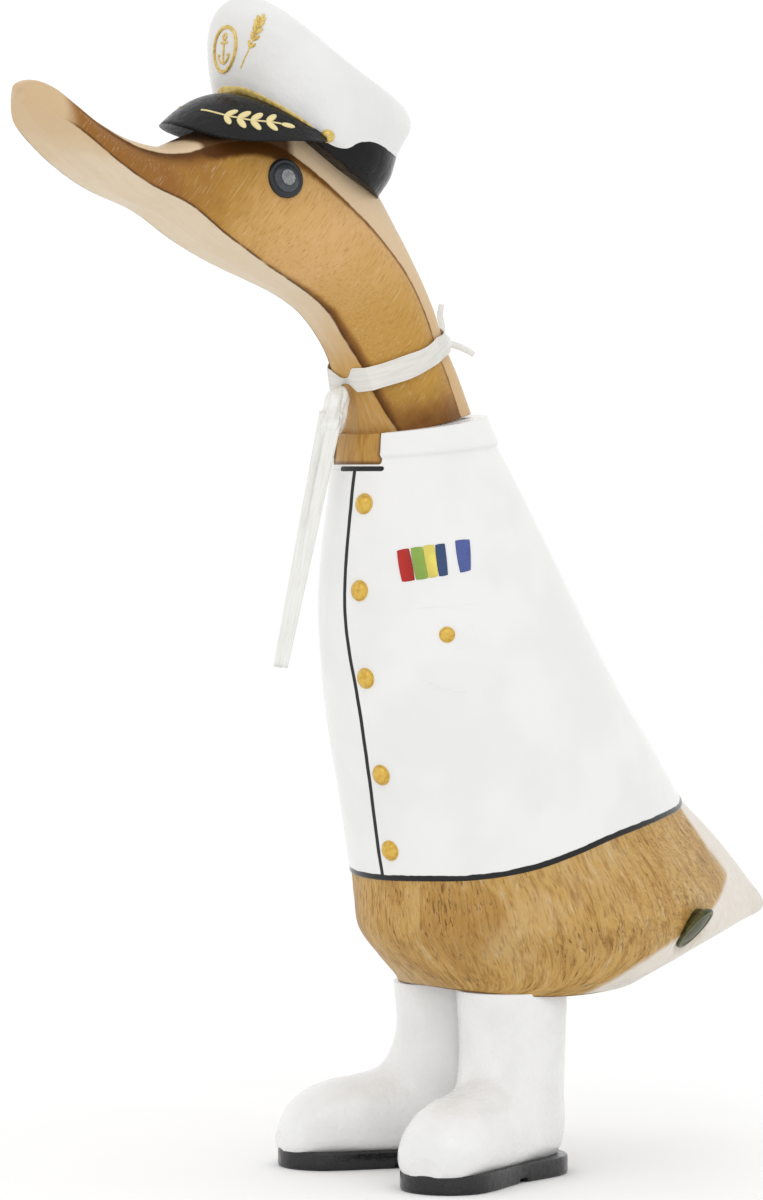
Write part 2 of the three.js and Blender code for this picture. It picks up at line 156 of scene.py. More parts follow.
# The gold band: the share of the way back from the front that it runs, and how much narrower it ends
GOLD_BAND = {"reach": 0.27, "narrowing": 0.35, "thick": 0.5, "proud": 0.15}
BAND_BUTTON = {"Radius": 0.0015, "Height": 0.0008}
GOLD_END = [-31.8, 263.2]  # [Y, Z] of the small button at each end of the gold band
CUT_HEIGHT = 4.2  # millimetres from one of the cap's lower cuts to the next

VISOR = {"wide": 22.5, "middle_y": -36, "reach": 28.6, "z": 261.8, "tip_rise": 4}
VISOR_PLATE = {"thick": 1.2, "belly": 3, "inset": 1.4, "sag": 1.1, "side_rise": 1.3, "lean": 2.1}
VISOR_TURN = 0.4 * math.pi
EMBLEM = {"z": 285.1, "half_wide": 4.5, "half_high": 5.4, "lean": 0.34}
# Leaf sprays: points of the stem, (share of the way, size) of the leaves, their spread in degrees and sizes
CROWN_SPRAY = {
    "stem": [[5.1, 280.2], [8.3, 284.4], [10.3, 288.3], [10.9, 291.6]],  # [X, Z]
    "leaves": [(0.38, 0.8), (0.52, 0.9), (0.66, 0.95), (0.79, 0.95), (0.91, 0.85), (1.0, 0.8)],
    "spread": 32,
    "sizes": {"Line": 0.00018, "Length": 0.0013, "Width": 0.00055},
}
VISOR_SPRAY = {
    "stem": [[4.4, -58.9], [10, -55.8], [14.6, -50.9], [17.8, -44.3]],  # [X, Y]
    "leaves": [(0.34, 1.0), (0.5, 1.1), (0.66, 1.1), (0.82, 1.05), (1.0, 1.0)],
    "spread": 48,
    "sizes": {"Line": 0.00026, "Length": 0.0018, "Width": 0.00082},
}

BOOT = {"x": 13.2, "y": 32, "turn": math.radians(23), "inside": 0.2}
BOOT_UPPER = [
    oval([-14.4, 47.2], [14.4, 48.5], [14.4, 14.4, 14.4]),
    oval([-14.2, 44], [14.4, 44], [14.2, 14.2, 14.2]),
    oval([-13.7, 36], [14.2, 33], [13.6, 13.7, 13.7]),
    oval([-15.4, 29.5], [14.4, 19], [13, 13.3, 13.6]),
    oval([-19, 25], [15, 8], [12.4, 13, 14], 2.1),
    oval([-25, 23.2], [10, 2], [12.2, 13, 13.5], 2.3),
    oval([-31.5, 22], [-6, 2], [12, 12.8, 13], 2.5),
    oval([-38, 19.5], [-26, 2], [11, 12.2, 12.4], 2.5),
    oval([-43, 15.2], [-40.2, 2], [8.4, 10, 10.4], 2.4),
    oval([-45.6, 9.4], [-45.2, 3.2], [3.6, 5, 4.4], 2.2),
]
SOLE = {"heel": 14.5, "toe": 12.2, "length": 33.4, "waist": 12, "thick": 4.8}
SOLE_NOTCH = {"from": -17.5, "to": -13.5, "high": 1.3}
SOLE_EDGE = [[0.9, 0], [0.45, 0.06], [0.14, 0.28], [0, 0.7]]  # [inset, height] of the sole's lower edge

# What is painted on or raised from the coat, as [X, Z] seen from the front
PIPING = [
    [3.2, 75], [2.9, 85.6], [4.1, 112.4], [3.7, 124.5], [2.6, 134], [1.9, 144], [2, 158], [2.3, 176.6],
    [2.3, 182],
]
PIPING_TOP = 181
COLLAR_OPENING = {"left": -9.6, "right": 10.4, "bottom": 182.2, "corner": 0.8}
OPENING_LINE = {"from": -3.4, "to": 10.6, "z": 181.15}
POCKET_SIDE = 10  # the pocket lies past this X
POCKET_SEAMS = [
    [[21.4, 145.7], [25.9, 146.3], [29.2, 146.7]],
    [[28.9, 141.4], [27.4, 136.2]],
    [[21.5, 127.6], [23.7, 126.1], [25.5, 125.1], [27.9, 124.7]],
]
BARS = {
    "bar_red": [[15.9, 160.6], [18.5, 161.3], [20.3, 153.1], [17.6, 152.6]],
    "bar_green": [[18.6, 161.3], [20.8, 161.7], [22.5, 153.6], [20.3, 153.1]],
    "bar_yellow": [[20.7, 161.8], [22.6, 162.2], [24, 154.1], [22.4, 153.6]],
    "bar_blue": [[22.6, 162.1], [24, 162.5], [25.3, 154.4], [24, 154]],
    "bar_dark_blue": [[25, 163.2], [26.5, 163.5], [27.7, 155.6], [26.6, 154.9]],
}

BAR_COLOURS = {
    "bar_red": (0.44, 0.02, 0.013),
    "bar_green": (0.31, 0.48, 0.09),
    "bar_yellow": (0.80, 0.68, 0.14),
    "bar_blue": (0.034, 0.066, 0.16),
    "bar_dark_blue": (0.085, 0.12, 0.35),
}
BAR_THICK = 0.4
BAR_DEEP = 0.5  # how far a bar reaches into the coat

COAT_BUTTONS = [[6.6, 172.3], [7, 150.4], [7.3, 128.2], [7.9, 103.6], [6.9, 84.2]]
POCKET_BUTTON = [25.8, 139.5]
BUTTON_SHAPE = {"Height": 0.68, "Rim": 0.1}  # in shares of its radius
EYE_AT = {"y": -41, "z": 252.7}
# Rims of the discs, as [share of the radius, height] from below to where the dome begins
EYE_RIM = [
    [0.6, -1.6], [0.98, -1.4], [1, 0.2], [0.985, 0.55], [0.93, 0.75], [0.86, 0.8], [0.8, 0.72], [0.76, 0.62],
]
STUD_RIM = [
    [0.6, -3], [0.8, -1.1], [0.95, -0.3], [1, 0.1], [1, 0.5], [0.985, 0.8], [0.95, 1.0],
    [0.89, 1.05], [0.85, 0.95], [0.81, 0.8], [0.78, 0.78],
]
STUD_AT = {"centre": [33.24, 76.45, 62.18], "faces": [0.66, 0.38, -0.65]}
STUD_SEAT = {"radius": 7.2, "slope": 1.6, "deep": 3}  # the flat in the wood that the stud lies on

RIBBON = [
    faced([-9.4, 200.8], [16.3, 212.2], [8.3, 15.5, 12.5], [0.03, 0.72]),
    faced([-11.3, 206.6], [14.2, 217], [7, 15.4, 12.5], [0.03, 0.72]),
]
LOOP = {"thick": 0.38, "weave_step": 0.42, "wave": 0.12, "waves": 7}
KNOTS = {
    "throat_knot": {
        "centre": [-1.6, -14, 194.6],
        "radii": [3.1, 3.5, 7.6],
        "lean": [0.1, 0.18],
        "folds": 4,
        "taper": 0.12,
    },
    "nape_knot": {
        "centre": [1, 18.4, 213],
        "radii": [2.4, 2.4, 2.9],
        "lean": [0, 0],
        "folds": 3,
        "taper": 0,
    },
}
RIBBON_TAIL = {"top": [-0.4, -15.6, 195.5], "bottom": [-6.6, -27, 131], "wide": 6}
STRIP_SHARE = 0.62  # the hanging end is two strips side by side, each this share of the whole width
NAPE_END = {"wide": 1.9, "thick": 0.35, "curl": 0.1, "end": 0.8}
# The ribbon's two ends at the nape: points along each, and which way it lies flat
NAPE_ENDS = {
    "nape_end_up": (
        [[1, 18, 213.5], [1, 18.7, 217.5], [0.8, 18.2, 220.4], [0.8, 18.7, 223.4]],
        [0.3, 1, 0],
    ),
    "nape_end_back": (
        [[1.4, 18.6, 213.4], [2.2, 21.8, 213], [3, 25, 211.8], [3.4, 27.2, 210.6]],
        [0.2, 0.3, 1],
    ),
}

CAMERA_AT = {"azimuth": 53.0, "elevation": 1.5, "distance": 1.2, "target": (0, -0.0099, 0.1477)}
LENS = 141.12
KEY_LIGHT = {"place": (0.9, -0.9, 1.3), "size": 0.8}
FLOOR = {"radius": 40, "sides": 64}  # metres


# Settings that a user would change


def length(name, description, default):
    return FloatProperty(name=name, description=description, default=default * MM, unit="LENGTH", precision=4)


def colour(name, description, default):
    return FloatVectorProperty(
        name=name, description=description, default=default, subtype="COLOR", size=3, min=0, max=1
    )


class CarvingSettings(bpy.types.PropertyGroup):
    coat_step: length("Coat step", "How far the painted coat stands proud of the wood", 0.35)
    collar_step: length("Collar step", "How far the stand collar stands proud of the wood", 1.3)
    line_width: length("Line width", "Width of the painted black lines", 1.25)
    wood: colour("Wood", "Main colour of the root wood", (0.54, 0.335, 0.108))
    wood_streak: colour("Wood streaks", "Orange-brown streaks in the root wood", (0.37, 0.19, 0.045))
    wood_fleck: colour("Wood flecks", "Dark pores and flecks", (0.13, 0.055, 0.012))
    # paler wood low on the rear and towards the tail
    low_rear_wood: colour("Pale wood", "Pale wood of the sawn faces", (0.78, 0.74, 0.68))
    cheek: colour("Cheek", "Light stained wood of the cheeks", (0.64, 0.385, 0.155))
    neck: colour("Neck", "Golden stained wood of the neck", (0.48, 0.265, 0.055))
    bill: colour("Bill", "Dark stained wood of the bill's sides", (0.29, 0.125, 0.027))
    cream: colour("Cream wood", "Pale wood of the face and the nape", (0.82, 0.79, 0.68))
    # this brown paints the scorching along the creases, and painted shade and shadow as well: under the
    # visor, beside the neck's front crease and along the edges of the collar's opening
    scorch_and_shade_brown: colour("Burnt edge", "Scorched wood along the creases", (0.075, 0.026, 0.004))
    white: colour("White paint", "The coat, cap and boots", (0.81, 0.81, 0.80))
    black: colour("Black paint", "The lines, band, visor and soles", (0.009, 0.009, 0.010))


class TrimSettings(bpy.types.PropertyGroup):
    button_radius: length("Button radius", "Radius of the coat's buttons", 2.45)
    pocket_button_radius: length("Pocket button radius", "Radius of the pocket's button", 1.85)
    eye_radius: length("Eye radius", "Radius of the eyes", 5.0)
    stud_radius: length("Stud radius", "Radius of the stud in the tail", 6.6)
    band_width: length("Gold band", "Width of the gold band on the cap", 2.6)
    gold: colour("Gold", "Gold paint on the cap", (0.76, 0.58, 0.19))
    gilt: colour("Gilt", "Gilt of the buttons", (0.70, 0.46, 0.09))
    bronze: colour("Bronze", "The dark stud", (0.045, 0.045, 0.016))
    ribbon: colour("Ribbon", "Satin of the loop round the neck", (0.78, 0.76, 0.71))
    ribbon_end: colour("Ribbon ends", "Paler satin of the knots and ends", (0.88, 0.88, 0.84))


class StageSettings(bpy.types.PropertyGroup):
    floor: colour("Floor", "The pale floor", (0.95, 0.95, 0.95))
    sky: FloatProperty(name="Sky", description="Strength of the light from all round", default=1.06, min=0)
    key: FloatProperty(name="Key light", description="Power of the soft light", default=2.0, unit="POWER")


# Shapes


def smooth(values, t):
    """Smooth value of a list at place t, where whole numbers are the list's own entries."""
    i = min(max(int(math.floor(t)), 0), len(values) - 2)
    f = t - i
    a, b, c, d = (values[min(max(k, 0), len(values) - 1)] for k in (i - 1, i, i + 1, i + 2))
    return b + 0.5 * f * (c - a + f * (2 * a - 5 * b + 4 * c - d + f * (3 * (b - c) + d - a)))


def along_line(points, t):
    """The smooth point at place t of a list of points."""
    return [smooth(values, t) for values in zip(*points)]


def part_way(start, end, share):
    return start * (1 - share) + end * share


def angles_round(count):
    return 2 * math.pi * np.arange(count) / count


def cut_at(cuts, t, grow=0.0):
    """The cut at place t of a list of cuts, grown outwards all round by grow."""
    cut = {key: np.array(along_line([c[key] for c in cuts], t)) for key in cuts[0]}
    step = (cut["back"] - cut["front"]) * grow / np.linalg.norm(cut["back"] - cut["front"])
    cut["front"] = cut["front"] - step
    cut["back"] = cut["back"] + step
    cut["wide"] = cut["wide"] + grow
    return cut


def parabola(s, places, values):
    (p, q, r), (a, b, c) = places, values
    one = a * (s - q) * (s - r) / ((p - q) * (p - r))
    two = b * (s - p) * (s - r) / ((q - p) * (q - r))
    return one + two + c * (s - p) * (s - q) / ((r - p) * (r - q))


def half_outline(cut, steps):
    """Points of a cut's half outline from its front to its back: half widths and shares of the way."""
    k = np.arange(steps + 1)
    wide = cut["wide"]
    if "square" in cut:
        power = 2 / cut["square"][0]
        angle = math.pi * k / steps
        cosine, sine = np.cos(angle), np.abs(np.sin(angle))
        s = (1 - np.sign(cosine) * np.abs(cosine) ** power) / 2
        return parabola(s, (0, 0.5, 1), wide) * sine**power, s
    low, high = cut["crease"]
    face, side = steps // 6, steps // 2
    s = low + (high - low) * (k - face) / side
    angle = math.pi / 2 * (k - face - side) / (steps - face - side)
    x = np.where(k <= face, wide[0] * k / face, parabola(s, (low, (low + high) / 2, high), wide))
    x = np.where(k > face + side, wide[2] * np.cos(angle), x)
    s = np.where(k <= face, low * k / face, s)
    return x, np.where(k > face + side, high + (1 - high) * np.sin(angle), s)


def ring(cut, sides):
    """The outline of a cut: points all round it, from its front point towards +X."""
    x, s = half_outline(cut, sides // 2)
    droop = cut["droop"][0] if "droop" in cut else 0.0
    y = cut["front"][0] + s * (cut["back"][0] - cut["front"][0])
    z = cut["front"][1] + s * (cut["back"][1] - cut["front"][1]) - droop * (x / cut["wide"][1]) ** 2
    near = np.stack([x, y, z], axis=1)
    far = near[-2:0:-1] * [-1, 1, 1]
    return np.concatenate([near, far])


def ring_at(cuts, t, sides, grow=0.0):
    return ring(cut_at(cuts, t, grow), sides)


def closing_rings(outline, count):
    """Rings that draw an outline together towards its middle, smallest first."""
    middle = outline.mean(axis=0)
    return [middle + (outline - middle) * (k + 0.5) / count for k in range(count)]


def grain_flow(rings, radius):
    """How far up the surface each point is, and its place on a straight cylinder that grain is drawn on."""
    up = np.cumsum(np.linalg.norm(np.diff(rings, axis=0, prepend=rings[:1]), axis=2), axis=0)
    angle = angles_round(rings.shape[1]) * np.ones_like(up)
    return up, np.stack([radius * np.cos(angle), radius * np.sin(angle), up], axis=2)


def lengths_round(rings):
    """How far along its ring each point is, and how long the ring is."""
    steps = np.linalg.norm(np.roll(rings, -1, axis=1) - rings, axis=2)
    along = np.concatenate([np.zeros((len(rings), 1)), np.cumsum(steps, axis=1)], axis=1)
    return along[:, :-1], along[:, -1:]


def step_up(value, low, high):
    share = np.clip((value - low) / (high - low), 0, 1)
    return share * share * (3 - 2 * share)


def near(points, centre, radius):
    """1 at a centre given as [Y, Z], fading to 0 at a radius from it."""
    away = np.linalg.norm(points[..., 1:] - np.array(centre), axis=-1)
    return 1 - step_up(away, 0, radius)


def off_lines(points, lines):
    """Distance of points from the nearest of some lines through [X, Z] points."""
    least = np.full(points.shape[:-1], 1e9)
    for line in lines:
        for a, b in zip(np.array(line), np.array(line[1:])):
            share = np.clip(((points - a) @ (b - a)) / ((b - a) @ (b - a)), 0, 1)
            least = np.minimum(least, np.linalg.norm(points - a - share[..., None] * (b - a), axis=-1))
    return least


def skin_faces(rows, sides, joined=False):
    """Quads between rings of the same number of points. Not joined, each end is closed by a pole."""
    k = np.arange(sides)
    following = (k + 1) % sides
    starts = [(row * sides, ((row + 1) % rows) * sides) for row in range(rows if joined else rows - 1)]
    quads = [np.stack([a + k, a + following, b + following, b + k], axis=1) for a, b in starts]
    faces = np.concatenate(quads).tolist()
    if not joined:
        first, last, top = rows * sides, rows * sides + 1, (rows - 1) * sides
        faces += np.stack([np.full(sides, first), following, k], axis=1).tolist()
        faces += np.stack([np.full(sides, last), top + k, top + following], axis=1).tolist()
    return faces


def in_one_list(values):
    return values.reshape(-1, *values.shape[2:])


def with_poles(values):
    """Values of each ring's points in one list, with those of the two poles after them."""
    return np.concatenate([in_one_list(values), values[:1].mean(axis=1), values[-1:].mean(axis=1)])


def to_metres(points):
    """Points of the carving in millimetres, as they lie in the scene."""
    return (np.asarray(points, float) - [0, MIDDLE_Y, 0]) * MM


def to_millimetres(point):
    return np.array(point) / MM + [0, MIDDLE_Y, 0]


def skin(name, rings, fields=None, joined=False):
    """A mesh over rings of points in millimetres, which carries the named fields on its points."""
    rings = np.asarray(rings, float)
    flatten = in_one_list if joined else with_poles
    mesh = bpy.data.meshes.new(name)
    mesh.from_pydata(to_metres(flatten(rings)).tolist(), [], skin_faces(*rings.shape[:2], joined))
    for field, values in (fields or {}).items():
        values = flatten(np.asarray(values, float))
        kind = "FLOAT_VECTOR" if values.ndim == 2 else "FLOAT"
        layer = mesh.attributes.new(field, kind, "POINT")
        layer.data.foreach_set("vector" if kind == "FLOAT_VECTOR" else "value", values.ravel())
    mesh.shade_smooth()
    return mesh


def linked(name, data):
    """A new object in the scene."""
    obj = bpy.data.objects.new(name, data)
    bpy.context.scene.collection.objects.link(obj)
    return obj


def piece(name, mesh, slot, *stands_for, materials=()):
    """A finished piece that moves with the figure and stands for CAD nodes."""
    obj = linked(name, mesh)
    for material in materials:
        mesh.materials.append(material)
    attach(obj, "root")
    if stands_for:
        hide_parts(*stands_for)
    return obj


def tree_over(*meshes):
    """What lines are cast on: the faces of some meshes."""
    points, faces = [], []
    for mesh in meshes:
        faces += [[len(points) + v for v in polygon.vertices] for polygon in mesh.polygons]
        points += [vertex.co.copy() for vertex in mesh.vertices]
    return BVHTree.FromPolygons(points, faces)


def cast(tree, start, inwards):
    """Where a line in millimetres first meets a surface, as a point and a normal, in metres."""
    point, normal, _, _ = tree.ray_cast(Vector(to_metres(start)), Vector(inwards).normalized())
    if point is None:
        raise RuntimeError(f"nothing to lay a piece on from {start}")
    return point, normal


def from_front(tree, x, z):
    return cast(tree, (x, -150, z), (0, 1, 0))


def from_side(tree, side, y, z):
    return cast(tree, (side * 60, y, z), (-side, 0, 0))


# Materials


class Nodes:
    """A node tree whose nodes are added one after the other."""

    def add(self, kind, inputs=None, **settings):
        made = self.tree.nodes.new(kind)
        row, column = divmod(len(self.tree.nodes), 12)
        made.location = (180 * column, -220 * row)
        for key, value in settings.items():
            setattr(made, key, value)
        for key, value in (inputs or {}).items():
            if isinstance(value, bpy.types.NodeSocket):
                self.tree.links.new(value, made.inputs[key])
            elif value is not None:
                made.inputs[key].default_value = value
        return made


class Finish(Nodes):
    """A material that is built up from its patterns."""

    def __init__(self, name):
        self.material = bpy.data.materials.new(name)
        self.material.use_nodes = True
        self.tree = self.material.node_tree
        self.tree.nodes.clear()

    def field(self, name, output="Fac"):
        return self.add("ShaderNodeAttribute", attribute_name=name).outputs[output]

    def place(self):
        """Object coordinates in millimetres."""
        return self.stretched(self.add("ShaderNodeTexCoord").outputs["Object"], (1000, 1000, 1000))

    def stretched(self, vector, scale):
        return self.add("ShaderNodeVectorMath", {0: vector, 1: scale}, operation="MULTIPLY").outputs[0]

    def turned(self, vector, degrees, axis):
        inputs = {"Vector": vector, "Angle": math.radians(degrees)}
        return self.add("ShaderNodeVectorRotate", inputs, rotation_type=axis).outputs[0]

    def noise(self, vector, scale, detail=3.0, rough=0.5, bend=0.0, stretch=None):
        vector = self.stretched(vector, stretch) if stretch else vector
        inputs = {"Vector": vector, "Scale": scale, "Detail": detail, "Roughness": rough, "Distortion": bend}
        return self.add("ShaderNodeTexNoise", inputs).outputs["Fac"]

    def maths(self, operation, a, b=None, c=None):
        return self.add("ShaderNodeMath", {0: a, 1: b, 2: c}, operation=operation).outputs[0]

    def plus(self, a, b):
        return self.maths("ADD", a, b)

    def less(self, a, b):
        return self.maths("SUBTRACT", a, b)

    def times(self, a, b):
        return self.maths("MULTIPLY", a, b)

    def scaled(self, value, by, plus):
        return self.maths("MULTIPLY_ADD", value, by, plus)

    def centred(self, value, spread):
        """A value from 0 to 1, spread out evenly about 0."""
        return self.scaled(value, spread, -spread / 2)

    def waves(self, value, pitch):
        return self.maths("SINE", self.times(value, 2 * math.pi / pitch))

    def larger(self, a, b):
        return self.maths("MAXIMUM", a, b)

    def between(self, value, low, high, to_low=0.0, to_high=1.0):
        """The value's place between two limits, smoothed and clamped."""
        names = ("Value", "From Min", "From Max", "To Min", "To Max")
        inputs = dict(zip(names, (value, low, high, to_low, to_high)))
        return self.add("ShaderNodeMapRange", inputs, interpolation_type="SMOOTHSTEP").outputs[0]

    def mix(self, share, a, b):
        """The colour a share of the way from one colour or socket to another."""
        a, b = (v if isinstance(v, bpy.types.NodeSocket) else (*v[:3], 1) for v in (a, b))
        inputs = {0: share, 6: a, 7: b}
        return self.add("ShaderNodeMix", inputs, data_type="RGBA", clamp_factor=True).outputs[2]

    def over(self, base, colour_over, *limits):
        """A colour over the base, as far as a value is between its limits."""
        return self.mix(self.between(*limits), base, colour_over)

    def ramp(self, value, stops):
        """Colours along a value, as (value, colour) stops."""
        made = self.add("ShaderNodeValToRGB", {0: value})
        elements = made.color_ramp.elements
        for _ in range(len(stops) - len(elements)):
            elements.new(1)
        for element, (place, base) in zip(elements, stops):
            element.position = place
            element.color = (*base, 1)
        return made.outputs[0]

    def shade(self, base, roughness, height=None, depth=0.0, **direct):
        """The finished material: a base colour, its roughness and a bump of some millimetres."""
        inputs = {"Base Color": base, "Roughness": roughness}
        if height:
            bump = {"Height": height, "Distance": depth * MM, "Strength": 1.0}
            inputs["Normal"] = self.add("ShaderNodeBump", bump).outputs[0]
        inputs.update({key.replace("_", " "): value for key, value in direct.items()})
        shader = self.add("ShaderNodeBsdfPrincipled", inputs)
        self.add("ShaderNodeOutputMaterial", {"Surface": shader.outputs[0]})
        return self.material


def blend(a, b, share):
    """A colour a share of the way from one to another."""
    return tuple((1 - share) * x + share * y for x, y in zip(a, b))


def dimmed(base, by):
    """A colour times a number, or times a number for each of red, green and blue."""
    return tuple(np.multiply(base, by))


def root_wood(look):
    """Root wood below the hem: uneven streaks, short dark dashes and mottling that grows towards the tail."""
    wood = Finish("root_wood")
    flow = wood.field("flow", "Vector")
    slanted = wood.turned(flow, 7, "Y_AXIS")
    streaks = wood.noise(slanted, 0.85, 5, 0.62, 0.5, (1, 1, 0.12))
    fibres = wood.noise(slanted, 2.4, 4, 0.65, 0.3, (1, 1, 0.07))
    dashes = wood.noise(slanted, 1.7, 4, 0.65, 0.3, (1, 1, 0.12))
    broad = wood.noise(flow, 0.1, 3, 0.55, 0.4, (1, 1, 0.4))
    mottle = wood.noise(flow, 1.3, 5, 0.75, 0.3, (1, 1, 0.6))
    light = blend(look.wood, look.cream, 0.3)
    base = wood.ramp(streaks, (
        (0.28, blend(look.wood_streak, look.wood_fleck, 0.3)),
        (0.4, blend(look.wood_streak, look.wood, 0.4)),
        (0.5, look.wood),
        (0.58, look.wood),
        (0.72, light),
    ))
    stain = wood.scaled(wood.field("stain"), 0.3, broad)
    base = wood.over(base, look.wood_streak, stain, 0.5, 0.72, 0, 0.6)
    base = wood.over(base, light, broad, 0.3, 0.5, 0.22, 0)
    base = wood.over(base, look.wood_fleck, fibres, 0.5, 0.7, 0, 0.42)
    dark = wood.times(wood.between(dashes, 0.56, 0.65), wood.between(broad, 0.4, 0.6, 0.35, 1))
    base = wood.mix(wood.times(dark, 0.75), base, look.wood_fleck)
    mottled = wood.times(wood.between(mottle, 0.5, 0.64), wood.field("tail"))
    base = wood.mix(wood.times(mottled, 0.5), base, look.wood_fleck)
    # paler low on the rear and towards the tail
    sawn = wood.plus(wood.field("sawn"), wood.centred(mottle, 2))
    pale = wood.over(look.low_rear_wood, look.wood, fibres, 0.4, 0.7, 0, 0.2)
    base = wood.over(base, pale, sawn, -1.4, 1.0, 0, 0.95)
    # painted shade darkens the wood where it meets the boots
    base = wood.mix(wood.times(wood.field("joint"), 0.85), base, look.wood_fleck)
    height = wood.less(wood.scaled(streaks, 0.5, wood.times(fibres, 0.5)), wood.times(dark, 0.35))
    rough = wood.between(fibres, 0.3, 0.7, 0.34, 0.48)
    return wood.shade(base, rough, height, 0.2, Specular_IOR_Level=0.16)


def coat_paint(look):
    """White gloss paint with painted black lines, and bare wood where the collar opens, with painted shade
    along the opening's edges.
    """
    coat = Finish("coat_paint")
    place = coat.place()
    width = look.line_width / MM
    brush = coat.noise(place, 0.5, stretch=(1, 1, 0.25))
    base = coat.over(look.white, dimmed(look.white, 0.955), coat.noise(place, 0.05, 2), 0.35, 0.65)
    wobble = coat.centred(coat.noise(place, 0.25, 2), 0.6)
    piping = coat.maths("ABSOLUTE", coat.plus(coat.field("piping"), coat.times(wobble, 0.3)))
    piping = coat.between(piping, width / 2 - 0.1, width / 2 + 0.08, 1, 0)
    hem = coat.between(coat.plus(coat.field("above_hem"), wobble), 1.25 * width, 1.25 * width + 0.2, 1, 0)
    line = coat.between(coat.field("opening_line"), -0.1, 0.1)
    black = coat.larger(coat.larger(piping, hem), line)
    opening = coat.field("opening")
    grain = coat.noise(place, 0.8, 4, 0.6, 0.3, (1, 1, 0.12))
    bare = coat.over(look.neck, look.bill, grain, 0.4, 0.68, 0, 0.6)
    # painted shade darkens the bare wood towards the sides and foot of the recessed opening
    bare = coat.over(bare, look.scorch_and_shade_brown, opening, 0.3, 1.3, 0.8, 0)
    base = coat.over(base, bare, opening, -0.08, 0.08)
    base = coat.mix(black, base, look.black)
    seam = coat.between(coat.field("off_seam"), 0.1, 0.7, 1, 0)
    height = coat.less(coat.scaled(brush, 0.12, coat.times(black, 0.25)), coat.times(seam, 0.3))
    rough = coat.between(brush, 0.3, 0.7, 0.16, 0.24)
    return coat.shade(base, rough, height, 0.4, Specular_IOR_Level=0.3)


def head_wood(look):
    """Stained sides with scorching along the creases, painted shade beside them and a painted shadow under
    the visor, and pale wood on the face, the bill's rim and the nape.
    """
    head = Finish("head_wood")
    flow = head.field("flow", "Vector")
    place = head.place()
    cloud = head.noise(place, 0.09, 3, 0.55)
    blotch = head.noise(place, 0.35, 4, 0.65)
    hair = head.noise(head.turned(place, 38, "X_AXIS"), 1.5, 4, 0.6, stretch=(1, 1.7, 0.13))
    grain = head.noise(flow, 1.5, 5, 0.62, 0.3, (1, 1, 0.1))
    dashes = head.noise(flow, 0.6, 3, 0.6, stretch=(1, 1, 0.5))
    speck = head.add("ShaderNodeTexVoronoi", {"Vector": place, "Scale": 0.55}).outputs["Distance"]
    along = head.plus(head.field("along"), head.centred(cloud, 0.16))
    # both ramps darken towards the neck's foot, where it goes into the collar
    side = head.ramp(along, (
        (0.0, blend(look.neck, look.scorch_and_shade_brown, 0.35)),
        (0.1, look.neck),
        (0.25, blend(look.neck, look.cheek, 0.35)),
        (0.38, look.cheek),
        (0.46, blend(look.cheek, look.neck, 0.3)),
        (0.55, blend(look.neck, look.bill, 0.25)),
        (0.66, look.bill),
    ))
    side = head.over(side, look.bill, hair, 0.52, 0.72, 0, 0.5)
    side = head.over(side, blend(look.cheek, look.cream, 0.4), hair, 0.3, 0.44, 0.3, 0)
    side = head.over(side, look.scorch_and_shade_brown, speck, 0.03, 0.12, 0.35, 0)
    # scorching along the creases, with painted shade beside the neck's front crease and painted shadow of the
    # visor along the top of the sides
    scorch_and_shade = head.plus(head.field("scorch_and_shade"), head.centred(blotch, 0.5))
    side = head.over(side, blend(look.bill, look.scorch_and_shade_brown, 0.25), scorch_and_shade, 0.05, 0.75)
    side = head.over(side, look.scorch_and_shade_brown, scorch_and_shade, 0.6, 1.15, 0, 0.85)
    pale = head.ramp(along, (
        (0.0, blend(look.neck, look.bill, 0.3)),
        (0.1, look.neck),
        (0.17, blend(look.neck, look.cream, 0.35)),
        (0.24, blend(look.neck, look.cream, 0.75)),
        (0.32, look.cream),
        (0.72, look.cream),
        (0.84, blend(look.cream, look.neck, 0.47)),
    ))
    pale = head.over(pale, blend(look.cream, look.neck, 0.35), grain, 0.42, 0.72, 0, 0.35)
    pale = head.over(pale, blend(look.cream, look.cheek, 0.5), cloud, 0.48, 0.68, 0, 0.2)
    wobble = head.times(head.centred(blotch, 1.2), 0.5)
    from_face = head.plus(head.field("from_face"), wobble)
    to_back = head.plus(head.field("to_back"), wobble)
    pale = head.over(pale, blend(look.cream, look.cheek, 0.45), to_back, -0.4, 0.1, 0.7, 0)
    halo = head.larger(head.between(from_face, -1.8, -0.1), head.between(to_back, -1.3, -0.1))
    pale = head.mix(head.times(halo, 0.45), pale, blend(look.cheek, look.neck, 0.5))
    behind_tip = head.field("behind_tip")
    on_side = head.times(head.between(from_face, -0.35, 0.15), head.between(to_back, -0.35, 0.15))
    base = head.mix(head.times(on_side, behind_tip), pale, side)
    edge = head.between(head.maths("ABSOLUTE", from_face), 0.1, 0.6, 0.8, 0)
    edge = head.times(head.times(edge, head.between(dashes, 0.36, 0.55, 0.25, 1)), behind_tip)
    base = head.mix(edge, base, look.scorch_and_shade_brown)
    # painted shadow of the visor, with stain, darkens the pale strip along the top of the bill under it
    visor_shadow_and_stain = head.scaled(blotch, 0.3, head.field("visor_shadow_and_stain"))
    base = head.over(base, look.scorch_and_shade_brown, visor_shadow_and_stain, 0.3, 0.8, 0, 0.95)
    height = head.less(head.scaled(grain, 0.4, head.times(hair, 0.5)), head.times(edge, 0.6))
    return head.shade(base, head.between(hair, 0.3, 0.7, 0.32, 0.46), height, 0.25, Specular_IOR_Level=0.12)


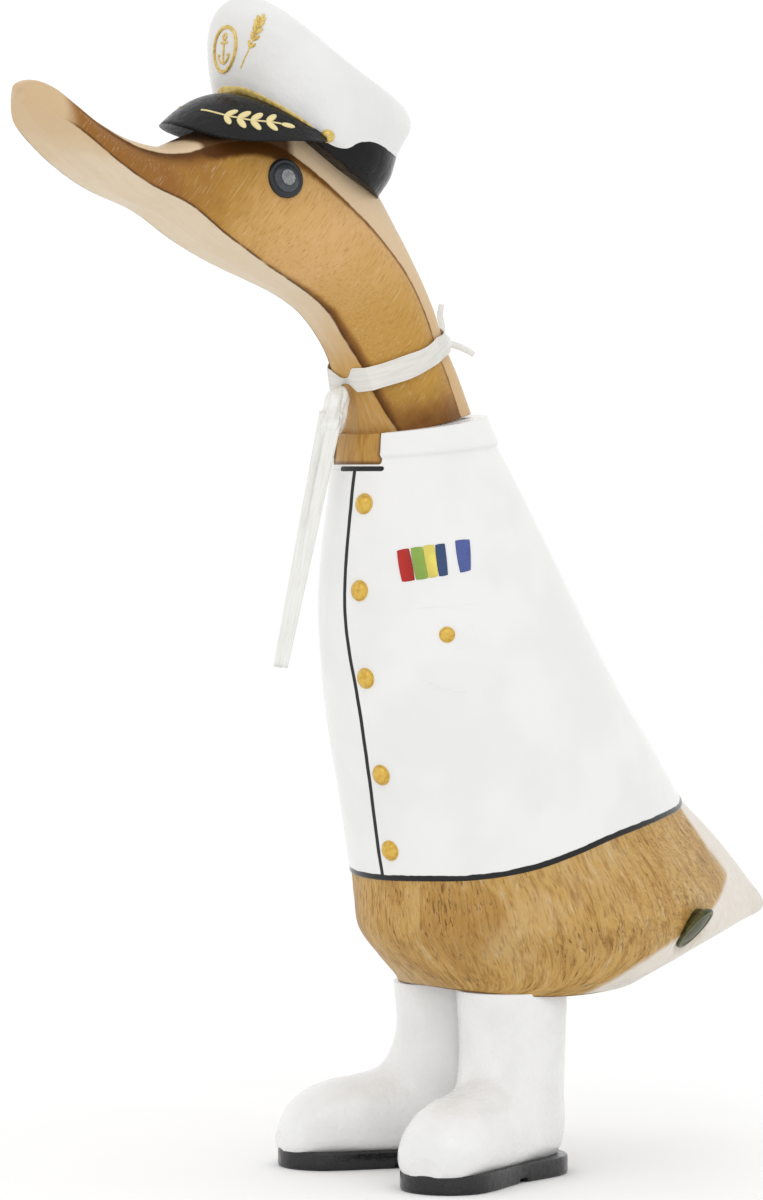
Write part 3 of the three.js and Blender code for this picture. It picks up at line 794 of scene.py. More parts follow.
def cap_paint(look):
    """White gloss crown over a black gloss band."""
    cap = Finish("cap_paint")
    place = cap.place()
    brush = cap.noise(place, 0.35)
    clean, dull = (blend(look.white, look.black, share) for share in (0.05, 0.09))
    white = cap.over(clean, dull, cap.noise(place, 0.06, 2), 0.35, 0.65)
    above = cap.plus(cap.field("above_band"), cap.centred(brush, 0.5))
    base = cap.over(look.black, white, above, -0.06, 0.06)
    return cap.shade(base, cap.between(brush, 0.3, 0.7, 0.12, 0.22), brush, 0.25, Specular_IOR_Level=0.16)


def gloss_paint(name, base, rough=0.14, specular=0.5, dull=0.9):
    """Brushed gloss paint in one colour, a little uneven in colour and polish."""
    paint = Finish(name)
    place = paint.place()
    uneven = paint.over(base, dimmed(base, dull), paint.noise(place, 0.09), 0.35, 0.65)
    scuffs = paint.noise(place, 1.4, 4, 0.7, stretch=(0.4, 1, 1))
    polish = paint.between(scuffs, 0.35, 0.75, rough, rough + 0.16)
    return paint.shade(uneven, polish, paint.noise(place, 0.6), 0.2, Specular_IOR_Level=specular)


def gold_paint(name, base, worn, scale, wear_from, roughness, depth, metallic):
    """Metallic paint or gilt, darker where it is worn."""
    gold = Finish(name)
    wear = gold.noise(gold.place(), scale, 4, 0.6)
    uneven = gold.over(base, dimmed(base, worn), wear, wear_from, 0.7)
    return gold.shade(uneven, gold.between(wear, 0.3, 0.7, *roughness), wear, depth, Metallic=metallic)


def bronze_patina(trim):
    """Dark bronze with a bright rim, rubbed and with a painted highlight, and a dark ring in the groove
    inside it; the disc's own field says how far from its middle a point is.
    """
    bronze = Finish("bronze_patina")
    place = bronze.place()
    ridges = bronze.noise(place, 1.2, 4, 0.6, stretch=(1, 1, 0.25))
    patina = bronze.noise(place, 0.5, 4, 0.65)
    across = bronze.field("across")
    base = bronze.over(trim.bronze, dimmed(trim.bronze, 2.3), patina, 0.4, 0.65)
    # the first ring lightens the rim, rubbed bronze with a painted highlight; the second darkens the groove
    # inside it
    for middle, wide, most, by in ((0.9, 0.09, 0.7, 3.2), (0.8, 0.05, 0.7, 0.3)):
        off = bronze.maths("ABSOLUTE", bronze.less(across, middle))
        base = bronze.over(base, dimmed(trim.bronze, by), off, 0.0, wide, most, 0)
    height = bronze.scaled(ridges, 0.6, patina)
    return bronze.shade(base, bronze.between(patina, 0.3, 0.7, 0.3, 0.5), height, 0.2, Metallic=0.7)


def glass_eye():
    """A black rim, a slate ring and a mottled grey middle under gloss."""
    eye = Finish("glass_eye")
    across = eye.field("across")
    mottle = eye.noise(eye.place(), 1.6, 4, 0.7)
    ragged = eye.scaled(eye.less(mottle, 0.5), 0.1, across)
    slate = eye.over((0.033, 0.039, 0.046), (0.055, 0.063, 0.072), mottle, 0.35, 0.65)
    grey = eye.over((0.30, 0.31, 0.31), (0.16, 0.165, 0.17), mottle, 0.4, 0.6)
    base = eye.over(grey, (0.02, 0.024, 0.03), ragged, 0.36, 0.42)
    base = eye.over(base, slate, ragged, 0.42, 0.5)
    base = eye.over(base, (0.014, 0.016, 0.02), across, 0.7, 0.76)
    return eye.shade(base, eye.between(mottle, 0.3, 0.7, 0.12, 0.2), mottle, 0.06, Specular_IOR_Level=0.4)


def satin(name, base):
    """Satin: fine threads across and along the ribbon, with closer woven edges."""
    cloth = Finish(name)
    weave = cloth.field("weave", "Vector")
    along, across, _ = cloth.add("ShaderNodeSeparateXYZ", {0: weave}).outputs
    ribs, threads = cloth.waves(along, 0.28), cloth.waves(across, 0.22)
    edge = cloth.between(cloth.maths("ABSOLUTE", across), 1.9, 2.2)
    line = cloth.noise(weave, 1.6, 3, 0.6, stretch=(0.06, 1, 1))
    uneven = cloth.over(base, dimmed(base, 0.86), line, 0.4, 0.68, 0, 0.7)
    uneven = cloth.mix(cloth.times(edge, 0.6), uneven, blend(base, (1, 0.93, 0.82), 0.5))
    height = cloth.plus(cloth.scaled(ribs, 0.35, cloth.times(threads, 0.25)), edge)
    rough = cloth.between(cloth.noise(weave, 0.8), 0.3, 0.7, 0.42, 0.6)
    return cloth.shade(uneven, rough, height, 0.06, Sheen_Weight=0.25, Anisotropic=0.4)


# Node trees for what repeats or follows a line


class Recipe(Nodes):
    """A Geometry Nodes tree that is built up, run on a mesh and turned into a plain mesh."""

    def __init__(self, name, **sizes):
        self.tree = bpy.data.node_groups.new(name, "GeometryNodeTree")
        face = self.tree.interface
        face.new_socket("Geometry", in_out="INPUT", socket_type="NodeSocketGeometry")
        face.new_socket("Material", in_out="INPUT", socket_type="NodeSocketMaterial")
        for key, value in sizes.items():
            face.new_socket(key, in_out="INPUT", socket_type="NodeSocketFloat").default_value = value
        face.new_socket("Geometry", in_out="OUTPUT", socket_type="NodeSocketGeometry")
        self.given = self.add("NodeGroupInput").outputs
        self.sizes = sizes

    def join(self, *parts):
        made = self.add("GeometryNodeJoinGeometry")
        for part in parts:
            self.tree.links.new(part, made.inputs[0])
        return made.outputs[0]

    def circle(self, sides, radius):
        inputs = {"Resolution": sides, "Radius": radius}
        return self.add("GeometryNodeCurvePrimitiveCircle", inputs).outputs[0]

    def tube(self, line, sides, radius, caps=False):
        """A round bar along a curve."""
        inputs = {"Curve": line, "Profile Curve": self.circle(sides, radius), "Fill Caps": caps}
        return self.add("GeometryNodeCurveToMesh", inputs).outputs[0]

    def ball(self, segments, rings, size, forward=0):
        """A ball of radius 1, moved forward along X and then stretched to a size."""
        inputs = {"Segments": segments, "Rings": rings, "Radius": 1.0}
        ball = self.add("GeometryNodeMeshUVSphere", inputs).outputs["Mesh"]
        inputs = {"Geometry": ball, "Translation": (forward, 0, 0)}
        moved = self.add("GeometryNodeTransform", inputs).outputs[0]
        size = self.add("ShaderNodeCombineXYZ", dict(zip("XYZ", size))).outputs[0]
        return self.add("GeometryNodeTransform", {"Geometry": moved, "Scale": size}).outputs[0]

    def named(self, name, kind):
        return self.add("GeometryNodeInputNamedAttribute", {"Name": name}, data_type=kind).outputs[0]

    def laid(self, points, shape, scale=(1, 1, 1)):
        """Copies of a shape on points, each turned by its point's own field."""
        turn = self.named("turn", "FLOAT_VECTOR")
        inputs = {"Points": points, "Instance": shape, "Rotation": turn, "Scale": scale}
        return self.add("GeometryNodeInstanceOnPoints", inputs).outputs[0]

    def finish(self, geometry):
        real = self.add("GeometryNodeRealizeInstances", {0: geometry}).outputs[0]
        soft = self.add("GeometryNodeSetShadeSmooth", {"Geometry": real}).outputs[0]
        painted = self.add("GeometryNodeSetMaterial", {"Geometry": soft, "Material": self.given["Material"]})
        self.add("NodeGroupOutput", {0: painted.outputs[0]})
        return self

    def run(self, name, mesh, material, **sizes):
        """The plain mesh that the tree makes of a mesh, with its modifier gone."""
        obj = linked(name, mesh)
        modifier = obj.modifiers.new(name, "NODES")
        modifier.node_group = self.tree
        values = {"Material": material, **self.sizes, **sizes}
        for socket in self.tree.interface.items_tree:
            if socket.in_out == "INPUT" and socket.name in values:
                modifier[socket.identifier] = values[socket.name]
        evaluated = obj.evaluated_get(bpy.context.evaluated_depsgraph_get())
        made = bpy.data.meshes.new_from_object(evaluated)
        made.name = name
        bpy.data.objects.remove(obj)
        return made


def laid_points(name, places, lines=(), sizes=None):
    """Points that copies are laid on. Each place is a point, a normal and a direction for the copy's X."""
    mesh = bpy.data.meshes.new(name)
    mesh.from_pydata([tuple(point) for point, _, _ in places], list(lines), [])
    angles = []
    for _, normal, ahead in places:
        side = normal.cross(ahead).normalized()
        angles.append(turn_angles(side.cross(normal), side, normal))
    mesh.attributes.new("turn", "FLOAT_VECTOR", "POINT").data.foreach_set("vector", np.ravel(angles))
    sizes = list(sizes or [1.0] * len(places))
    mesh.attributes.new("size", "FLOAT", "POINT").data.foreach_set("value", sizes)
    return mesh


def turn_angles(x, y, z):
    """Angles about X, Y and Z, in that order, of the turn that brings the axes to three directions."""
    return math.atan2(y[2], z[2]), math.asin(max(-1.0, min(1.0, -x[2]))), math.atan2(x[1], x[0])


def button_recipe():
    """Domed buttons with a thin raised rim."""
    recipe = Recipe("button_recipe", Radius=0.00245, Height=0.0017, Rim=0.0003)
    given = recipe.given
    dome = recipe.ball(40, 20, (given["Radius"], given["Radius"], given["Height"]))
    rim = recipe.tube(recipe.circle(48, given["Radius"]), 10, given["Rim"])
    return recipe.finish(recipe.laid(given["Geometry"], recipe.join(dome, rim)))


def spray_recipe():
    """Raised lines along the mesh's edges, with a pointed leaf on each point that has a size."""
    recipe = Recipe("spray_recipe", Line=0.0003, Length=0.0017, Width=0.0007, Height=0.0004)
    given = recipe.given
    line = recipe.add("GeometryNodeMeshToCurve", {"Mesh": given["Geometry"]}).outputs[0]
    stem = recipe.tube(line, 8, given["Line"], caps=True)
    leaf = recipe.ball(14, 10, (given["Length"], given["Width"], given["Height"]), forward=1)
    size = recipe.named("size", "FLOAT")
    wanted = recipe.add("FunctionNodeCompare", {0: size, 1: 0.01}, operation="GREATER_THAN").outputs[0]
    inputs = {"Mesh": given["Geometry"], "Selection": wanted}
    points = recipe.add("GeometryNodeMeshToPoints", inputs).outputs[0]
    return recipe.finish(recipe.join(stem, recipe.laid(points, leaf, size)))


# The carving


TORSO_SIDES = 320
HEAD_SIDES = 192


def edge_at(edge, share):
    """Smooth values, at shares of the way from front to back, of a list that is evenly spaced along it."""
    places = np.ravel(share) * (len(edge) - 1)
    return np.array([smooth(edge, place) for place in places]).reshape(np.shape(share))


def round_both_ways(half):
    """Values of a half outline, carried on round the other half."""
    return np.concatenate([half, half[-2:0:-1]])


def coat_grow(t, look):
    """How far the coat stands proud of the bare wood at a place along the torso."""
    coat = step_up(t, HEM, HEM + 0.03) * look.coat_step / MM
    collar = step_up(t, COLLAR_SEAM - 0.06, COLLAR_SEAM + 0.06) * (look.collar_step - look.coat_step) / MM
    return float(coat + collar)


def piping_x(z):
    """Where the painted line down the front is at a height."""
    line = np.array([along_line(PIPING, t) for t in np.linspace(0, len(PIPING) - 1, 80)])
    return np.interp(z, line[:, 1], line[:, 0])


def torso_rings(places, look):
    """Rings of the torso whose hem runs as it is painted, a little off the level of its cut."""
    share = round_both_ways(half_outline(cut_at(TORSO, HEM), TORSO_SIDES // 2)[1])
    stray = edge_at(HEM_EDGE, share)
    rings = np.array([ring_at(TORSO, t, TORSO_SIDES, coat_grow(t, look)) for t in places])
    ahead, behind = (np.array([ring_at(TORSO, t + by, TORSO_SIDES) for t in places]) for by in (0.05, -0.05))
    reach = 1 - step_up(np.abs(places - HEM), 0.3, 1.8)
    return rings + (ahead - behind) / 0.1 * reach[:, None, None] * stray[None, :, None]


def seated(rings):
    """The wood cut down to the level of the stud that is set in it."""
    outwards = np.array(STUD_AT["faces"]) / np.linalg.norm(STUD_AT["faces"])
    away = rings - STUD_AT["centre"]
    high = away @ outwards
    off = np.linalg.norm(away - high[..., None] * outwards, axis=-1)
    close = 1 - step_up(off, STUD_SEAT["radius"], STUD_SEAT["radius"] + STUD_SEAT["slope"])
    return rings - (np.clip(high, 0, STUD_SEAT["deep"]) * close)[..., None] * outwards


def collar_opening(x, z):
    """How far inside the collar's opening a point of the front is; its lower corners are rounded."""
    corner = COLLAR_OPENING["corner"]
    past_side = np.maximum(COLLAR_OPENING["left"] - x, x - COLLAR_OPENING["right"]) + corner
    past_foot = COLLAR_OPENING["bottom"] + corner - z
    past_corner = np.hypot(np.maximum(past_side, 0), np.maximum(past_foot, 0))
    return corner - past_corner - np.minimum(np.maximum(past_side, past_foot), 0)


def level_outwards(rings):
    """Level directions from the middle of each ring out to its points."""
    outwards = rings - rings.mean(axis=1, keepdims=True)
    outwards[..., 2] = 0
    return outwards / np.maximum(np.linalg.norm(outwards, axis=2, keepdims=True), 1e-6)


def torso_mesh(look):
    """The torso, wood below and coat above, with the distances that its two materials read."""
    places = np.concatenate([
        np.linspace(0, HEM, 84, endpoint=False),
        np.linspace(HEM, HEM + 0.05, 5, endpoint=False),
        np.linspace(HEM + 0.05, COLLAR_SEAM - 0.1, 146, endpoint=False),
        np.linspace(COLLAR_SEAM - 0.1, len(TORSO) - 1, 20),
    ])
    rings = torso_rings(places, look)
    under = closing_rings(rings[0], 8)
    lid = closing_rings(rings[-1], 6)[::-1]
    first_coat = len(under) + int(np.searchsorted(places, HEM + 0.01))
    rings = np.concatenate([under, rings, lid])
    up, flow = grain_flow(rings, TORSO_RADIUS)

    x, y, z = np.moveaxis(rings, 2, 0)
    in_front = y < FRONT_Y
    opening = collar_opening(x, z)
    off_line = np.hypot(x - np.clip(x, OPENING_LINE["from"], OPENING_LINE["to"]), z - OPENING_LINE["z"])
    off_seam = off_lines(rings[..., [0, 2]], POCKET_SEAMS)
    fields = {
        "flow": flow,
        "above_hem": up - up[first_coat],
        "piping": np.where(in_front & (z < PIPING_TOP), x - piping_x(z), FAR),
        "opening": np.where(in_front, opening, -FAR),
        "opening_line": np.where(in_front, look.line_width / MM / 2 - off_line, -FAR),
        "off_seam": np.where(in_front & (x > POCKET_SIDE), off_seam, FAR),
    }

    paint = [0.0] * len(under) + [coat_grow(t, look) for t in places] + [look.collar_step / MM] * len(lid)
    bared = np.where(in_front, step_up(opening, -0.15, 0.25), 0) * np.array(paint)[:, None] * 0.8
    rings = seated(rings - level_outwards(rings) * bared[..., None])
    x, y, z = np.moveaxis(rings, 2, 0)
    pale_back = np.where(y > PALE_BACK[0][0], np.interp(y, *zip(*PALE_BACK)) - np.abs(x), -FAR)
    at_joint = 1 - step_up(up - up[len(under)], BOOT_JOINT_SHADE["dark"], BOOT_JOINT_SHADE["clear"])
    fields |= {
        "stain": near(rings, **STAIN),
        # painted shade at the foot of the wood, where it meets the boots
        "tail": step_up(y, *TAIL_MOTTLE),
        "joint": at_joint * (1 - step_up(y, *BOOT_JOINT_SHADE["back"])),
        # paler below a line that rises towards the tail
        "sawn": np.maximum(np.interp(y, *zip(*LOW_REAR_EDGE)) - z, pale_back),
    }
    mesh = skin("carved_torso", rings, fields)
    is_coat = [index // TORSO_SIDES >= first_coat for index in range((len(rings) - 1) * TORSO_SIDES)]
    is_coat += [False] * TORSO_SIDES + [True] * TORSO_SIDES
    mesh.polygons.foreach_set("material_index", np.array(is_coat, int))
    return mesh


def darkening_beside_crease(off_crease, row_place, scorch_and_shade):
    """How dark the wood is beside a crease, from scorching and from painted shade."""
    reach, burn = (np.interp(row_place, *scorch_and_shade[key]) for key in ("reach", "burn"))
    return burn * (1 - step_up(off_crease, 0, reach))


def head_mesh():
    """The neck, head and bill, with the distances from its creases that its material reads."""
    last = len(NECK_TO_BILL) - 1
    places = np.concatenate([np.linspace(0, last - 3, 220, endpoint=False), np.linspace(last - 3, last, 40)])
    rings = np.array([ring_at(NECK_TO_BILL, t, HEAD_SIDES) for t in places])
    tip = closing_rings(rings[-1], 4)[::-1]
    foot = closing_rings(rings[0], 3)
    rings = np.concatenate([foot, rings, tip])
    row_place = np.concatenate([np.zeros(len(foot)), places, np.full(len(tip), float(last))])[:, None]
    up, flow = grain_flow(rings, HEAD_RADIUS)
    every = np.ones_like(up)
    along, whole = lengths_round(rings)
    along = np.minimum(along, whole - along)
    face, side = HEAD_SIDES // 12, HEAD_SIDES // 4
    from_face = along - along[:, face:face + 1]
    to_back = along[:, face + side:face + side + 1] - along + 1.2 * step_up(row_place, 10, 12)
    # the dark band under the visor is painted shadow of the visor as well as stain
    begins, full, fades, ends = VISOR_SHADOW_AND_STAIN
    visor_shadow_and_stain = step_up(rings[..., 1], begins, full) * (1 - step_up(rings[..., 1], fades, ends))
    return skin("carved_head", rings, {
        "flow": flow,
        "from_face": from_face,
        "to_back": to_back,
        # scorching beside the creases, with painted shade and painted shadow of the visor where the tables
        # give them
        "scorch_and_shade": np.maximum.reduce([
            darkening_beside_crease(from_face, row_place, FRONT_SCORCH_AND_SHADE),
            darkening_beside_crease(to_back, row_place, BACK_SCORCH_AND_SHADE),
            # darker towards the neck's foot, where it goes into the collar
            0.8 * (1 - step_up(row_place, 0.2, 1.1)) * every,
        ]),
        "along": row_place / last * every,
        "visor_shadow_and_stain": visor_shadow_and_stain * (1 - step_up(to_back, 1, 6)),
        "behind_tip": (1 - step_up(row_place, *BEHIND_TIP)) * every,
    })


class DUCK_OT_carving(bpy.types.Operator):
    """Carve the torso with its painted coat, and the neck, head and bill"""

    bl_idname = "duck.carving"
    bl_label = "Carved body"

    def execute(self, context):
        look = context.scene.duck_carving
        finishes = [root_wood(look), coat_paint(look)]
        piece("carved_torso", torso_mesh(look), "carved_wood", "duck_body", materials=finishes)
        piece("carved_head", head_mesh(), "carved_wood", materials=[head_wood(look)])
        return {"FINISHED"}


# The cap


CAP_SIDES = 240


def cap_share():
    """How far from front to back each point round the cap is."""
    return round_both_ways(half_outline(cut_at(CAP, BAND_TOP), CAP_SIDES // 2)[1])


def band_edge():
    """The crown's lower edge at each point round the cap, as a cut."""
    right = np.maximum(-np.sin(angles_round(CAP_SIDES)), 0)
    share = cap_share()
    return edge_at(BAND_EDGE, share) + BAND_LEAN * right * (1 - right) * (share < 0.5)


def roll(above):
    """How far the black band rolls out from the crown at some millimetres above its upper edge."""
    share = np.clip(1 + above / BAND_ROLL["high"], 0, 1)
    return BAND_ROLL["out"] * np.sin(math.pi * share) * (above < 0)


def crown_mesh():
    """The white crown and the black band under it, with how far above the band's edge each point is."""
    places = np.linspace(0, len(CAP) - 1, 130)
    above = (places[:, None] - band_edge()) * CUT_HEIGHT
    rings = []
    for t, row in zip(places, above):
        plain, wider = (ring_at(CAP, t, CAP_SIDES, grow) for grow in (0.0, 1.0))
        rings.append(plain + (wider - plain) * roll(row)[:, None])
    top = closing_rings(rings[-1], 10)[::-1]
    under = closing_rings(rings[0], 3)
    rings = np.array([*under, *rings, *top])
    above = np.pad(above, ((len(under), len(top)), (0, 0)), "edge")
    return skin("cap_crown", rings, {"above_band": above})


def gold_band_mesh(width):
    """A thin flat band round the foot of the crown's front, narrower towards its ends."""
    share = cap_share()
    edge = band_edge()
    rings = []
    for k in range(-CAP_SIDES // 2 + 1, CAP_SIDES // 2):
        if share[k] <= GOLD_BAND["reach"]:
            half = width / MM / 2 * (1 - GOLD_BAND["narrowing"] * share[k] / GOLD_BAND["reach"])
            section = []
            for up, out in ribbon_section(2 * half, GOLD_BAND["thick"]):
                place = edge[k] + (up - half) / CUT_HEIGHT
                proud = GOLD_BAND["proud"] + out + roll(up - half)
                section.append(ring_at(CAP, place, CAP_SIDES, proud)[k])
            rings.append(section)
    return skin("gold_band", rings)


def visor_mesh():
    """A thin curved plate with a rounded rim: its rings are its sections from one temple to the other."""
    seat = cut_at(CAP, BAND_TOP, -VISOR_PLATE["inset"])
    front, back = seat["front"], seat["back"]
    middle = (front[0] + back[0]) / 2
    rings = []
    for turn in np.linspace(-VISOR_TURN, VISOR_TURN, 141):
        angle = turn / VISOR_TURN * math.pi / 2
        s = (1 - math.cos(turn)) / 2
        droop = seat["droop"][0] - VISOR_PLATE["side_rise"]
        z = front[1] + s * (back[1] - front[1]) - droop * math.sin(turn) ** 2
        inner = np.array([seat["wide"][1] * math.sin(turn), middle + (front[0] - middle) * math.cos(turn), z])
        inner[2] -= VISOR_PLATE["inset"]
        bend = VISOR_PLATE["sag"] * math.sin(2 * angle) ** 2 + VISOR_PLATE["lean"] * math.sin(2 * angle)
        outer = np.array([
            VISOR["wide"] * math.sin(angle),
            VISOR["middle_y"] - VISOR["reach"] * math.cos(angle),
            VISOR["z"] + VISOR["tip_rise"] * math.cos(angle) - bend,
        ])
        across = np.linspace(0, 1, 22)
        top = inner + (outer - inner) * across[:, None]
        top[:, 2] += VISOR_PLATE["belly"] * math.cos(angle) * 4 * across * (1 - across)
        bottom = top.copy()
        bottom[:, 2] -= VISOR_PLATE["thick"] * (1 - 0.5 * across**2) * np.sqrt(np.clip(1 - across**8, 0, 1))
        rings.append(np.concatenate([top[:1], bottom[:-1], top[:0:-1]]))
    return skin("cap_visor", rings)


class DUCK_OT_cap(bpy.types.Operator):
    """Make the peaked cap: white crown, black band and black visor"""

    bl_idname = "duck.cap"
    bl_label = "Cap"

    def execute(self, context):
        look = context.scene.duck_carving
        piece("cap_crown", crown_mesh(), "cap_paint", "cap", materials=[cap_paint(look)])
        black = gloss_paint("visor_paint", look.black, 0.2, 0.2, 0.8)
        piece("cap_visor", visor_mesh(), "cap_paint", materials=[black])
        return {"FINISHED"}


def laid_line(places):
    """Lines from each place to the next, as pairs of indexes."""
    return [(k, k + 1) for k in range(len(places) - 1)]


def spray_places(ground, spray, mirror):
    """A stem laid on a surface with leaves in pairs along it and one at its end."""
    stem = spray["stem"]
    spread = math.radians(spray["spread"])

    def lie(share):
        x, other = along_line(stem, share * (len(stem) - 1))
        return ground(mirror * x, other)

    stem_places = [lie(share) for share in np.linspace(0, 1, 24)]
    ahead = [b[0] - a[0] for a, b in zip(stem_places, stem_places[1:])]
    places = [(point, normal, way) for (point, normal), way in zip(stem_places, [*ahead, ahead[-1]])]
    sizes = [0.0] * len(places)
    lines = laid_line(places)
    for share, size in spray["leaves"]:
        point, normal = lie(share)
        way = (lie(min(share + 0.04, 1))[0] - lie(max(share - 0.04, 0))[0]).normalized()
        side = normal.cross(way).normalized()
        for turn in (-spread, spread) if share < 1 else (0,):
            places.append((point, normal, way * math.cos(turn) + side * math.sin(turn)))
            sizes.append(size)
    return places, lines, sizes


def merged(parts):
    """Several lists of places, lines and sizes as one."""
    places, lines, sizes = [], [], []
    for more_places, more_lines, more_sizes in parts:
        lines += [(a + len(places), b + len(places)) for a, b in more_lines]
        places += more_places
        sizes += more_sizes
    return places, lines, sizes


def arc(centre, radii, start, end, count):
    """Points of an arc of an ellipse."""
    angles = np.linspace(start, end, count)
    return [[centre[0] + radii[0] * math.cos(a), centre[1] + radii[1] * math.sin(a)] for a in angles]


def emblem_strokes():
    """A plain anchor in an oval ring, as lists of [across, up] in shares of the ring's half sizes."""
    circle = arc((0, 0), (1, 1), 0, 2 * math.pi, 49)
    eye = arc((0, 0.56), (0.15, 0.13), 0, 2 * math.pi, 13)
    arms = arc((0, -0.2), (0.5, 0.42), math.pi, 2 * math.pi, 17)
    shank = [[0, v] for v in np.linspace(0.44, -0.6, 9)]
    stock = [[v, 0.3] for v in np.linspace(-0.3, 0.3, 5)]
    flukes = [[[side * 0.5, -0.2], [side * 0.36, -0.26]] for side in (-1, 1)]
    return circle, [eye, arms, shank, stock, *flukes]


class DUCK_OT_gold(bpy.types.Operator):
    """Lay the gold band with its buttons, the leaf sprays and the anchor emblem on the cap"""

    bl_idname = "duck.gold"
    bl_label = "Gold trim"

    def execute(self, context):
        trim = context.scene.duck_trim
        gold = gold_paint("gold_paint", trim.gold, (0.72, 0.62, 0.4), 0.7, 0.35, (0.28, 0.42), 0.3, 0.35)
        crown = tree_over(bpy.data.meshes["cap_crown"])
        visor = tree_over(bpy.data.meshes["cap_visor"])

        def front_ground(x, z):
            return from_front(crown, x, z)

        def visor_ground(x, y):
            return cast(visor, (x, y, 320), (0, 0, -1))

        leaves = spray_recipe()
        pale_gold = gloss_paint("pale_gold", blend(trim.gold, (1, 1, 0.75), 0.3), 0.3, 0.3)
        sprays = (
            ("crown_spray", CROWN_SPRAY, front_ground, (1,), gold),
            ("visor_sprays", VISOR_SPRAY, visor_ground, (1, -1), pale_gold),
        )
        for name, spray, ground, sides, paint in sprays:
            points = laid_points("spray", *merged([spray_places(ground, spray, side) for side in sides]))
            piece(name, leaves.run(name, points, paint, **spray["sizes"]), "cap_paint")

        def emblem_place(across, up):
            z = EMBLEM["z"] + EMBLEM["half_high"] * up
            x = EMBLEM["half_wide"] * across + EMBLEM["lean"] * (z - EMBLEM["z"])
            return from_front(crown, x, z)

        circle, anchor = emblem_strokes()
        for name, strokes, radius in (("emblem_ring", [circle], 0.5), ("emblem_anchor", anchor, 0.32)):
            parts = []
            for stroke in strokes:
                places = [(*emblem_place(*point), UP) for point in stroke]
                parts.append((places, laid_line(places), [0.0] * len(places)))
            points = laid_points(name, *merged(parts))
            piece(name, leaves.run(name, points, gold, Line=radius * MM), "cap_paint")

        piece("gold_band", gold_band_mesh(trim.band_width), "cap_paint", materials=[gold])
        y, z = GOLD_END
        ends = laid_points("ends", [(*from_side(crown, side, y, z), UP) for side in (1, -1)])
        piece("band_buttons", button_recipe().run("band_buttons", ends, gold, **BAND_BUTTON), "cap_paint")
        return {"FINISHED"}


# Boots


BOOT_SIDES = 120


def in_boot(points, side):
    """Points of a boot's own frame in the figure's, flattened where the two boots meet."""
    cosine, sine = math.cos(side * BOOT["turn"]), math.sin(side * BOOT["turn"])
    x, y, z = np.moveaxis(points, -1, 0)
    across = x * cosine - y * sine + side * BOOT["x"]
    across = side * np.maximum(side * across, BOOT["inside"])
    return np.stack([across, x * sine + y * cosine + BOOT["y"], z], axis=-1)


def boot_upper(side):
    rings = np.array([ring_at(BOOT_UPPER, t, BOOT_SIDES) for t in np.linspace(len(BOOT_UPPER) - 1, 0, 110)])
    rings = np.concatenate([closing_rings(rings[0], 6), rings])
    rings[..., 2] = np.maximum(rings[..., 2], SOLE["thick"] - GAP)
    return skin("boot_upper", in_boot(rings, side))


def sole_outline(inset):
    """A heel arc and a toe arc joined by the waist, from the heel's +X side towards its -X side."""
    heel = arc((0, 0), (SOLE["heel"], SOLE["heel"]), 0, math.pi, 50)
    toe = arc((0, -SOLE["length"]), (SOLE["toe"], SOLE["toe"]), math.pi, 2 * math.pi, 50)

    def side_line(start, end):
        """A smooth line through the waist, pulled in a little."""
        share = np.linspace(0, 1, 42)[1:-1, None]
        line = part_way(np.array(start), np.array(end), share)
        pull = np.sign(start[0]) * 0.5 * (1 - np.cos(2 * math.pi * share[:, 0]))
        middle = (abs(start[0]) + abs(end[0])) / 2 - SOLE["waist"]
        line[:, 0] -= pull * middle
        return line.tolist()

    outline = np.array([*heel, *side_line(heel[-1], toe[0]), *toe, *side_line(toe[-1], heel[0])])
    middle = np.stack([np.zeros(len(outline)), np.clip(outline[:, 1], -SOLE["length"], 0)], axis=1)
    away = outline - middle
    return outline - away / np.linalg.norm(away, axis=1, keepdims=True) * inset


def boot_sole(side):
    high = SOLE["thick"]
    upper_edge = [[0, high - 0.6], [0.1, high - 0.2], [0.35, high], [1.2, high]]
    rings = []
    for inset, z in SOLE_EDGE + upper_edge:
        flat = sole_outline(inset)
        notch = step_up(flat[:, 1], SOLE_NOTCH["from"] - 0.3, SOLE_NOTCH["from"] + 0.3)
        notch = notch * (1 - step_up(flat[:, 1], SOLE_NOTCH["to"] - 0.3, SOLE_NOTCH["to"] + 0.3))
        rings.append(np.column_stack([flat, np.maximum(z, SOLE_NOTCH["high"] * notch)]))
    rings = np.array([*closing_rings(rings[0], 8), *rings, *closing_rings(rings[-1], 3)[::-1]])
    return skin("boot_sole", in_boot(rings, side))


class DUCK_OT_boots(bpy.types.Operator):
    """Make the two white boots with black soles"""

    bl_idname = "duck.boots"
    bl_label = "Boots"

    def execute(self, context):
        look = context.scene.duck_carving
        white = gloss_paint("boot_paint", look.white, 0.14, 0.5, 0.95)
        black = gloss_paint("sole_paint", look.black, 0.16, 0.5, 0.7)
        for side, name in ((1, "left"), (-1, "right")):
            piece(f"boot_upper_{name}", boot_upper(side), "boot_paint", f"boot_{name}", materials=[white])
            piece(f"boot_sole_{name}", boot_sole(side), "boot_paint", materials=[black])
        return {"FINISHED"}


# Discs laid on the carving: eyes, stud and buttons


def turned_disc(name, profile, point, normal, sides=96):
    """A disc turned from [radius, height] points, from under its rim to its middle, standing on a normal."""
    normal = normal.normalized()
    side = normal.orthogonal().normalized()
    up = normal.cross(side)
    widest = max(radius for radius, _ in profile)
    angles = angles_round(sides)[:, None]
    spokes = np.cos(angles) * np.array(side) + np.sin(angles) * np.array(up)
    origin, ahead = to_millimetres(point), np.array(normal)
    rings = [origin + radius * spokes + height * ahead for radius, height in profile]
    across = np.array([[radius / widest] * sides for radius, _ in profile])
    return skin(name, rings, {"across": across})


